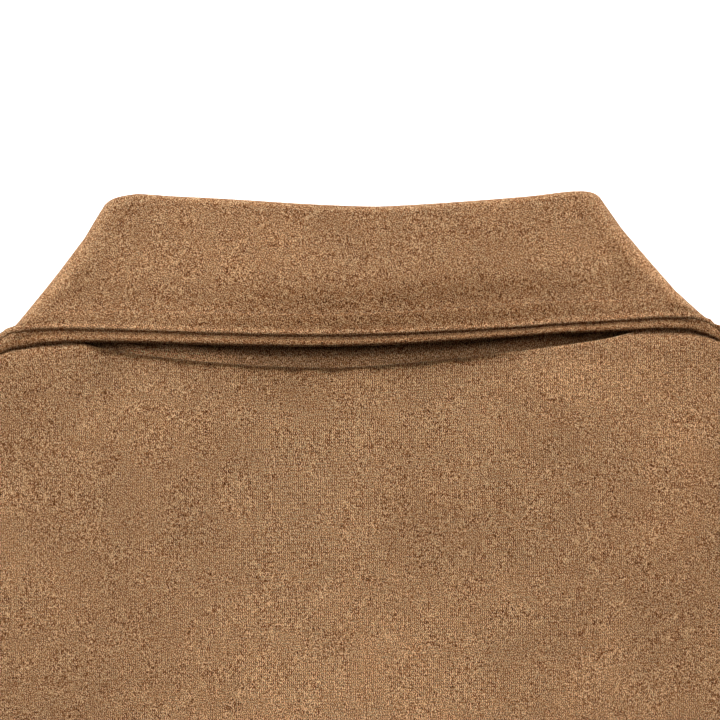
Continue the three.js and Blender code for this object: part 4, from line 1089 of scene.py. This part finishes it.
def makeCollarStand():
    # A band from the neck seam to just under the roll. Its tone is a little darker overall, with painted
    # shade close under the fall's edge, along the seam at the left and towards the right, and painted light
    # at the left where the light reaches in.
    p = standPiece
    s = collarStations(stationOrder(*p["stations"]))
    toRoll = s["roll"] - s["neck"]
    length = np.linalg.norm(toRoll, axis=1)
    up = unitRows(toRoll)
    top = length - collar["standTurn"] - layers["seamGap"] - p["clear"]
    level = np.where(s["degrees"] > 0, layers["neckUpper"], underHeight(s["neck"][:, 0], s["neck"][:, 1]))
    seamRadius = np.where(s["turning"] & (np.abs(s["degrees"]) < 90), collar["standRadius"],
                          np.abs(level - collar["middleHeight"]))
    atSide = smooth(0.8, 1, np.abs(s["sideways"]))
    start = mix(p["startMiddle"], p["startSide"], atSide)  # it tucks under the back's edge
    shares = np.concatenate([[0, 0.03, 0.055, 0.085], np.linspace(0.12, 1, 24)])
    retreat = np.where(s["turning"], collar["standRadius"], 0)[:, None] * (1 - shares[None, :])
    reach = start[:, None] + (top - start)[:, None] * shares[None, :]
    plan = s["neck"][:, None] + up[:, None] * reach[..., None]
    plan = plan - s["out"][:, None] * retreat[..., None] * np.array([1, 0.5])
    radius = mix(seamRadius[:, None], collar["standRadius"], smooth(0, 0.65, shares)[None, :])
    grid = aroundFold(plan, np.broadcast_to(s["out"][:, None], plan.shape), radius, s["degrees"][:, None])
    isBack = (s["degrees"] > 80)[:, None]
    grid[..., 2] -= p["dip"] * (1 - smooth(*p["dipFrom"], reach)) * isBack
    x, y = grid[..., 0], grid[..., 1]
    pucker = p["pucker"] * puckers(x, p["puckerPitch"], 2 * softWaves(x, y, 25, 31))
    grid[..., 2] += pucker * bell(reach - 3, 4) * isBack
    half = collar["standWall"] / 2
    run = lengthAlong(s["neck"])[:, None]
    cut = np.stack([np.broadcast_to(run, reach.shape), reach], -1)
    onBack = s["degrees"] == 90
    below = np.interp(x, s["edge"][onBack, 0], s["edge"][onBack, 1]) - y  # how far under the fall's edge
    # painted light at the left; painted shade towards the right, under the fall's edge and by the seam at
    # the left
    glow = p["leftPaintedLight"] * bell(x - p["leftAt"], p["leftReach"]) * smooth(*p["leftLightFrom"], below)
    tone = p["tone"] + glow - p["rightShade"] * smooth(*p["rightFrom"], x)
    seamShade = p["seamShade"] * bell(x - p["seamShadeAt"], p["leftReach"]) * bell(reach, 0.9)
    tone -= p["edgeShade"] * bell(below - 0.4, 1.1) + seamShade
    return clothShell("collarStandCloth", grid, half, half, cut, tone * isBack, plainWales, [suede, suede])


collarStand = makeCollarStand()
collarFall = makeCollarFall()
print("collar ready")


# Buttons

buttonLook = {
    "dark": "#3b2617", "light": "#6d4b30", "radius": 9.5, "thick": 2.8, "sides": 48, "holeRadius": 1.0,
    "holeApart": 2.1, "holeSides": 16, "streaksPerMetre": 260, "streakSwirl": 1.2,
}


def hornMaterial(name, look):
    # Polyester made to look like horn: cast, then polished, so satin with soft darker streaks.
    material, tree = startMaterial(name)
    place = addNode(tree, "TexCoord", {}).outputs["Object"]
    streak = noise(tree, place, look["streaksPerMetre"], 4.0, 0.6)
    streak.inputs["Distortion"].default_value = look["streakSwirl"]
    streaks = colourRamp(tree, streak, [(0.35, look["dark"]), (0.65, look["light"])])
    finishMaterial(tree, {"Roughness": 0.32, "IOR": 1.55, "Specular IOR Level": 0.5, "Base Color": streaks})
    return material


horn = hornMaterial("polishedHornResin", buttonLook)


def makeButton(number):
    # A turned disc: each ring of points is a radius and a height. Four holes are cut by a boolean.
    look = buttonLook
    r, thick = look["radius"], look["thick"]
    profile = np.array([
        (0.0, 0.6), (r - 3.2, 0.6), (r - 2.4, 0.25), (r - 1.6, 0.0), (r - 0.9, 0.0), (r - 0.2, 0.4),
        (r, 1.0), (r, thick - 1.0), (r - 0.5, thick - 0.3), (r - 1.3, thick), (0.0, thick),
    ])
    count = look["sides"]
    turn = np.linspace(0, 2 * np.pi, count, endpoint=False)
    rings = profile[1:-1]
    centreY = buttonRow["firstY"] - buttonRow["pitch"] * (number - 1)
    points = np.stack([
        rings[:, 0, None] * np.cos(turn), rings[:, 0, None] * np.sin(turn) + centreY,
        np.broadcast_to(rings[:, 1, None], (len(rings), count)),
    ], -1).reshape(-1, 3)
    points = np.concatenate([points, [[0, centreY, profile[0, 1]], [0, centreY, thick]]])
    k = np.arange(count)
    faces = ringFaces(len(rings), count).tolist()
    bottom, top = len(points) - 2, len(points) - 1
    last = (len(rings) - 1) * count
    faces += np.stack([np.full(count, bottom), (k + 1) % count, k], 1).tolist()
    faces += np.stack([np.full(count, top), last + k, last + (k + 1) % count], 1).tolist()
    piece = newMesh(f"button{number}", points, faces, [horn])
    sides = look["holeSides"]
    turn = np.linspace(0, 2 * np.pi, sides, endpoint=False)
    circle = np.stack([np.cos(turn), np.sin(turn), np.zeros(sides)], 1) * look["holeRadius"]
    k = np.arange(sides)
    cutters, cutterFaces = [], []
    for hole in range(4):
        angle = math.pi / 4 + hole * math.pi / 2
        cx, cy = look["holeApart"] * math.cos(angle), centreY + look["holeApart"] * math.sin(angle)
        base = len(cutters)
        for z in (-1.0, thick + 1.0):
            cutters += (circle + [cx, cy, z]).tolist()
        cutterFaces += (base + ringFaces(2, sides)).tolist()
        cutterFaces += [(base + k[::-1]).tolist(), (base + sides + k).tolist()]
    cutter = newMesh("holeCutter", np.array(cutters), cutterFaces, [])
    cut = piece.modifiers.new("holes", "BOOLEAN")
    cut.operation, cut.object, cut.solver = "DIFFERENCE", cutter, "EXACT"
    depsgraph = bpy.context.evaluated_depsgraph_get()
    finished = bpy.data.meshes.new_from_object(piece.evaluated_get(depsgraph))
    piece.modifiers.clear()
    piece.data = finished
    bpy.data.objects.remove(cutter)
    return piece


buttons = [makeButton(number) for number in range(1, buttonRow["count"] + 1)]
print("buttons ready")


# Stitching: each stitch is a short thread with tapered ends, laid along a line and standing out by a height

threadLook = {
    "thread": "#a67d58", "shade": "#7a563a", "radius": 0.19, "length": 2.5, "pitch": 3.2, "sides": 6,
    "sink": 0.42, "endShare": 0.45, "hemSink": 0.42, "hemRise": 0.06, "grainsPerMetre": 5200,
}


def threadMaterial(name, look):
    # Spun polyester sewing thread: satin, with a fine grain of light and dark from its twist.
    material, tree = startMaterial(name)
    place = addNode(tree, "TexCoord", {}).outputs["Object"]
    grain = noise(tree, place, look["grainsPerMetre"], 1.0)
    twist = colourRamp(tree, grain, [(0.3, look["shade"]), (0.7, look["thread"])])
    finishMaterial(tree, {
        "Roughness": 0.6, "IOR": 1.5, "Specular IOR Level": 0.3, "Sheen Weight": 0.15, "Base Color": twist,
    })
    return material


thread = threadMaterial("spunPolyesterThread", threadLook)


def stitchRow(name, path, normal, rise):
    # path and normal are rows of points and outward directions along the seam. A stitch is a tube around
    # its stretch of the path, and its ends sink into the cloth.
    look = threadLook
    reached = lengthAlong(path)
    count = int(reached[-1] / look["pitch"])
    along = np.linspace(-0.5, 0.5, 7)
    centre = (np.arange(count) + 0.5) * look["pitch"]
    at = (centre[:, None] + along[None, :] * look["length"]).clip(0, reached[-1])
    place = pointsAt(at, reached, path)
    out = unitRows(pointsAt(at, reached, normal))
    way = unitRows(np.gradient(place, axis=1))
    across = unitRows(np.cross(way, out))
    arch = np.cos(along * np.pi) ** 0.6
    radius = look["radius"] * mix(look["endShare"], 1, arch)
    lift = rise - look["sink"] * (1 - arch)
    turn = np.linspace(0, 2 * np.pi, look["sides"], endpoint=False)[None, None, :, None]
    ring = across[:, :, None] * np.cos(turn) + out[:, :, None] * np.sin(turn)
    points = (place + out * lift[None, :, None])[:, :, None] + ring * radius[None, :, None, None]
    sides, rings = look["sides"], len(along)
    start = (np.arange(count) * sides * rings)[:, None, None]
    faces = (start + ringFaces(rings, sides)[None]).reshape(-1, 4).tolist()
    ends = np.stack([np.arange(sides)[::-1], (rings - 1) * sides + np.arange(sides)])
    faces += (start + ends[None]).reshape(-1, sides).tolist()
    return newMesh(name, points.reshape(-1, 3), faces, [thread])


def collarStitches(name, fromEdge):
    # A row of stitches at one distance from the collar's edge, on the outside of the back and side folds.
    order = stationOrder(260, 30, 2)
    order = order[np.abs(order) <= 2]
    rows = np.array([fromEdge - 0.4, fromEdge, fromEdge + 0.4])
    grid, _, upShare, _ = fallSurface(order, rows, 2, 2)
    normal = gridNormals(grid)[:, 1]
    path = grid[:, 1] + normal * (outerWall(fromEdge, upShare) - 0.05)
    return stitchRow(name, path, normal, 0.0)


topstitch = collarStitches("collarTopstitch", collarPiece["topstitchAt"])
edgeStitch = collarStitches("collarEdgeStitch", collarPiece["edgeStitchAt"])


def hemStitches():  # along the back's hem, sunk in its furrow
    x = np.linspace(-body["hemX"] + 5, body["hemX"] - 5, 160)
    y = hemLine(x) + body["hemDepth"] - body["hemStitchIn"]
    edge = bodyEdge(x, y)
    z = turned(upperHeight(x, y, edge), underHeight(x, y), edge) + backRipple(x, y, edge)
    path = np.stack([x, y, z + (layers["wall"] / 2 - threadLook["hemSink"])], -1)
    up = np.broadcast_to(np.array([0.0, 0.0, 1.0]), path.shape)
    return stitchRow("hemStitch", path, up, threadLook["hemRise"])


hemStitch = hemStitches()
print("stitches ready")


# Riding, replacing and what each sheet was cut from

cloths = {  # piece: node, flat width and length in metres, flat area in square metres
    backCloth: ("back", (0.600, 0.730), 0.385),
    frontLeft: ("front_left", (0.330, 0.710), 0.196),
    frontRight: ("front_right", (0.330, 0.710), 0.196),
    sleeveLeft: ("sleeve_left", (0.450, 0.610), 0.166),
    sleeveRight: ("sleeve_right", (0.450, 0.610), 0.166),
    collarStand: ("collar_stand", (0.470, 0.048), 0.0165),
    collarFall: ("collar_fall", (0.560, 0.078), 0.038),
}
for piece, (node, flat, area) in cloths.items():
    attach(piece, "root")
    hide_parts(node)
for number, piece in enumerate(buttons, 1):
    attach(piece, "root")
    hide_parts(f"button_{number}")
for piece in (topstitch, edgeStitch, hemStitch):
    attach(piece, "root")


# Table, light and camera

studio = {
    "frameWidth": 0.2483, "roll": -0.95, "lens": 180, "aim": (0.05, 2.4, 14), "paper": "#f7f7f7",
    "glow": 0.8, "fill": 0.055, "fillColour": "#ffe0cc", "tableHalf": 3.0,
}
softboxes = {  # name: power, size, place from the neck seam
    "keyLight": (31, (0.8, 0.7), (0.0, 1.02, 1.12)),
    "topLight": (6, (0.8, 0.8), (-0.3, 0.32, 1.5)),
}


def makeTable():  # a flat square of card, which glows a little so that it renders as white
    half = studio["tableHalf"]
    mesh = bpy.data.meshes.new("table")
    corners = [(-half, -half, 0), (half, -half, 0), (half, half, 0), (-half, half, 0)]
    mesh.from_pydata(corners, [], [(0, 1, 2, 3)])
    material, tree = startMaterial("whitePaper")  # matt white card, plain and even
    finishMaterial(tree, {
        "Base Color": toLinear(studio["paper"]), "Roughness": 0.9, "Specular IOR Level": 0.1,
        "Emission Color": (1, 1, 1, 1), "Emission Strength": studio["glow"],
    })
    mesh.materials.append(material)
    table = addObject("table", mesh)
    table.location.z = -0.0002  # just under the cloth


def makeLights():  # soft boxes turned to face the neck seam, and a faint warm light from all round
    centre = np.array([0, bodyShift / 1000, 0.015])
    for name, (power, size, place) in softboxes.items():
        data = bpy.data.lights.new(name, "AREA")
        data.shape = "RECTANGLE"
        data.size, data.size_y = size
        data.energy = power
        lamp = addObject(name, data)
        place = np.array(place) + [0, bodyShift / 1000, 0]
        lamp.location = place
        away = place - centre
        lamp.rotation_euler = (-math.atan2(away[1], away[2]), math.atan2(away[0], math.hypot(*away[1:])), 0)
    world = bpy.data.worlds.new("softRoom")
    world.use_nodes = True
    background = world.node_tree.nodes["Background"]
    background.inputs["Color"].default_value = toLinear(studio["fillColour"])
    background.inputs["Strength"].default_value = studio["fill"]
    bpy.context.scene.world = world


def makeCamera():  # looks straight down, from where the picture is frameWidth wide at the aim
    data = bpy.data.cameras.new("overheadCamera")
    data.lens = studio["lens"]
    data.sensor_width = 36
    distance = studio["frameWidth"] * data.lens / data.sensor_width
    camera = addObject("overheadCamera", data)
    x, y, z = studio["aim"]
    camera.location = (x / 1000, (y + bodyShift) / 1000, z / 1000 + distance)
    camera.rotation_euler = (0, 0, math.radians(studio["roll"]))
    data.clip_end = 20
    bpy.context.scene.camera = camera


makeTable()
makeLights()
makeCamera()
bpy.context.scene.view_settings.view_transform = "Standard"
print("studio ready")
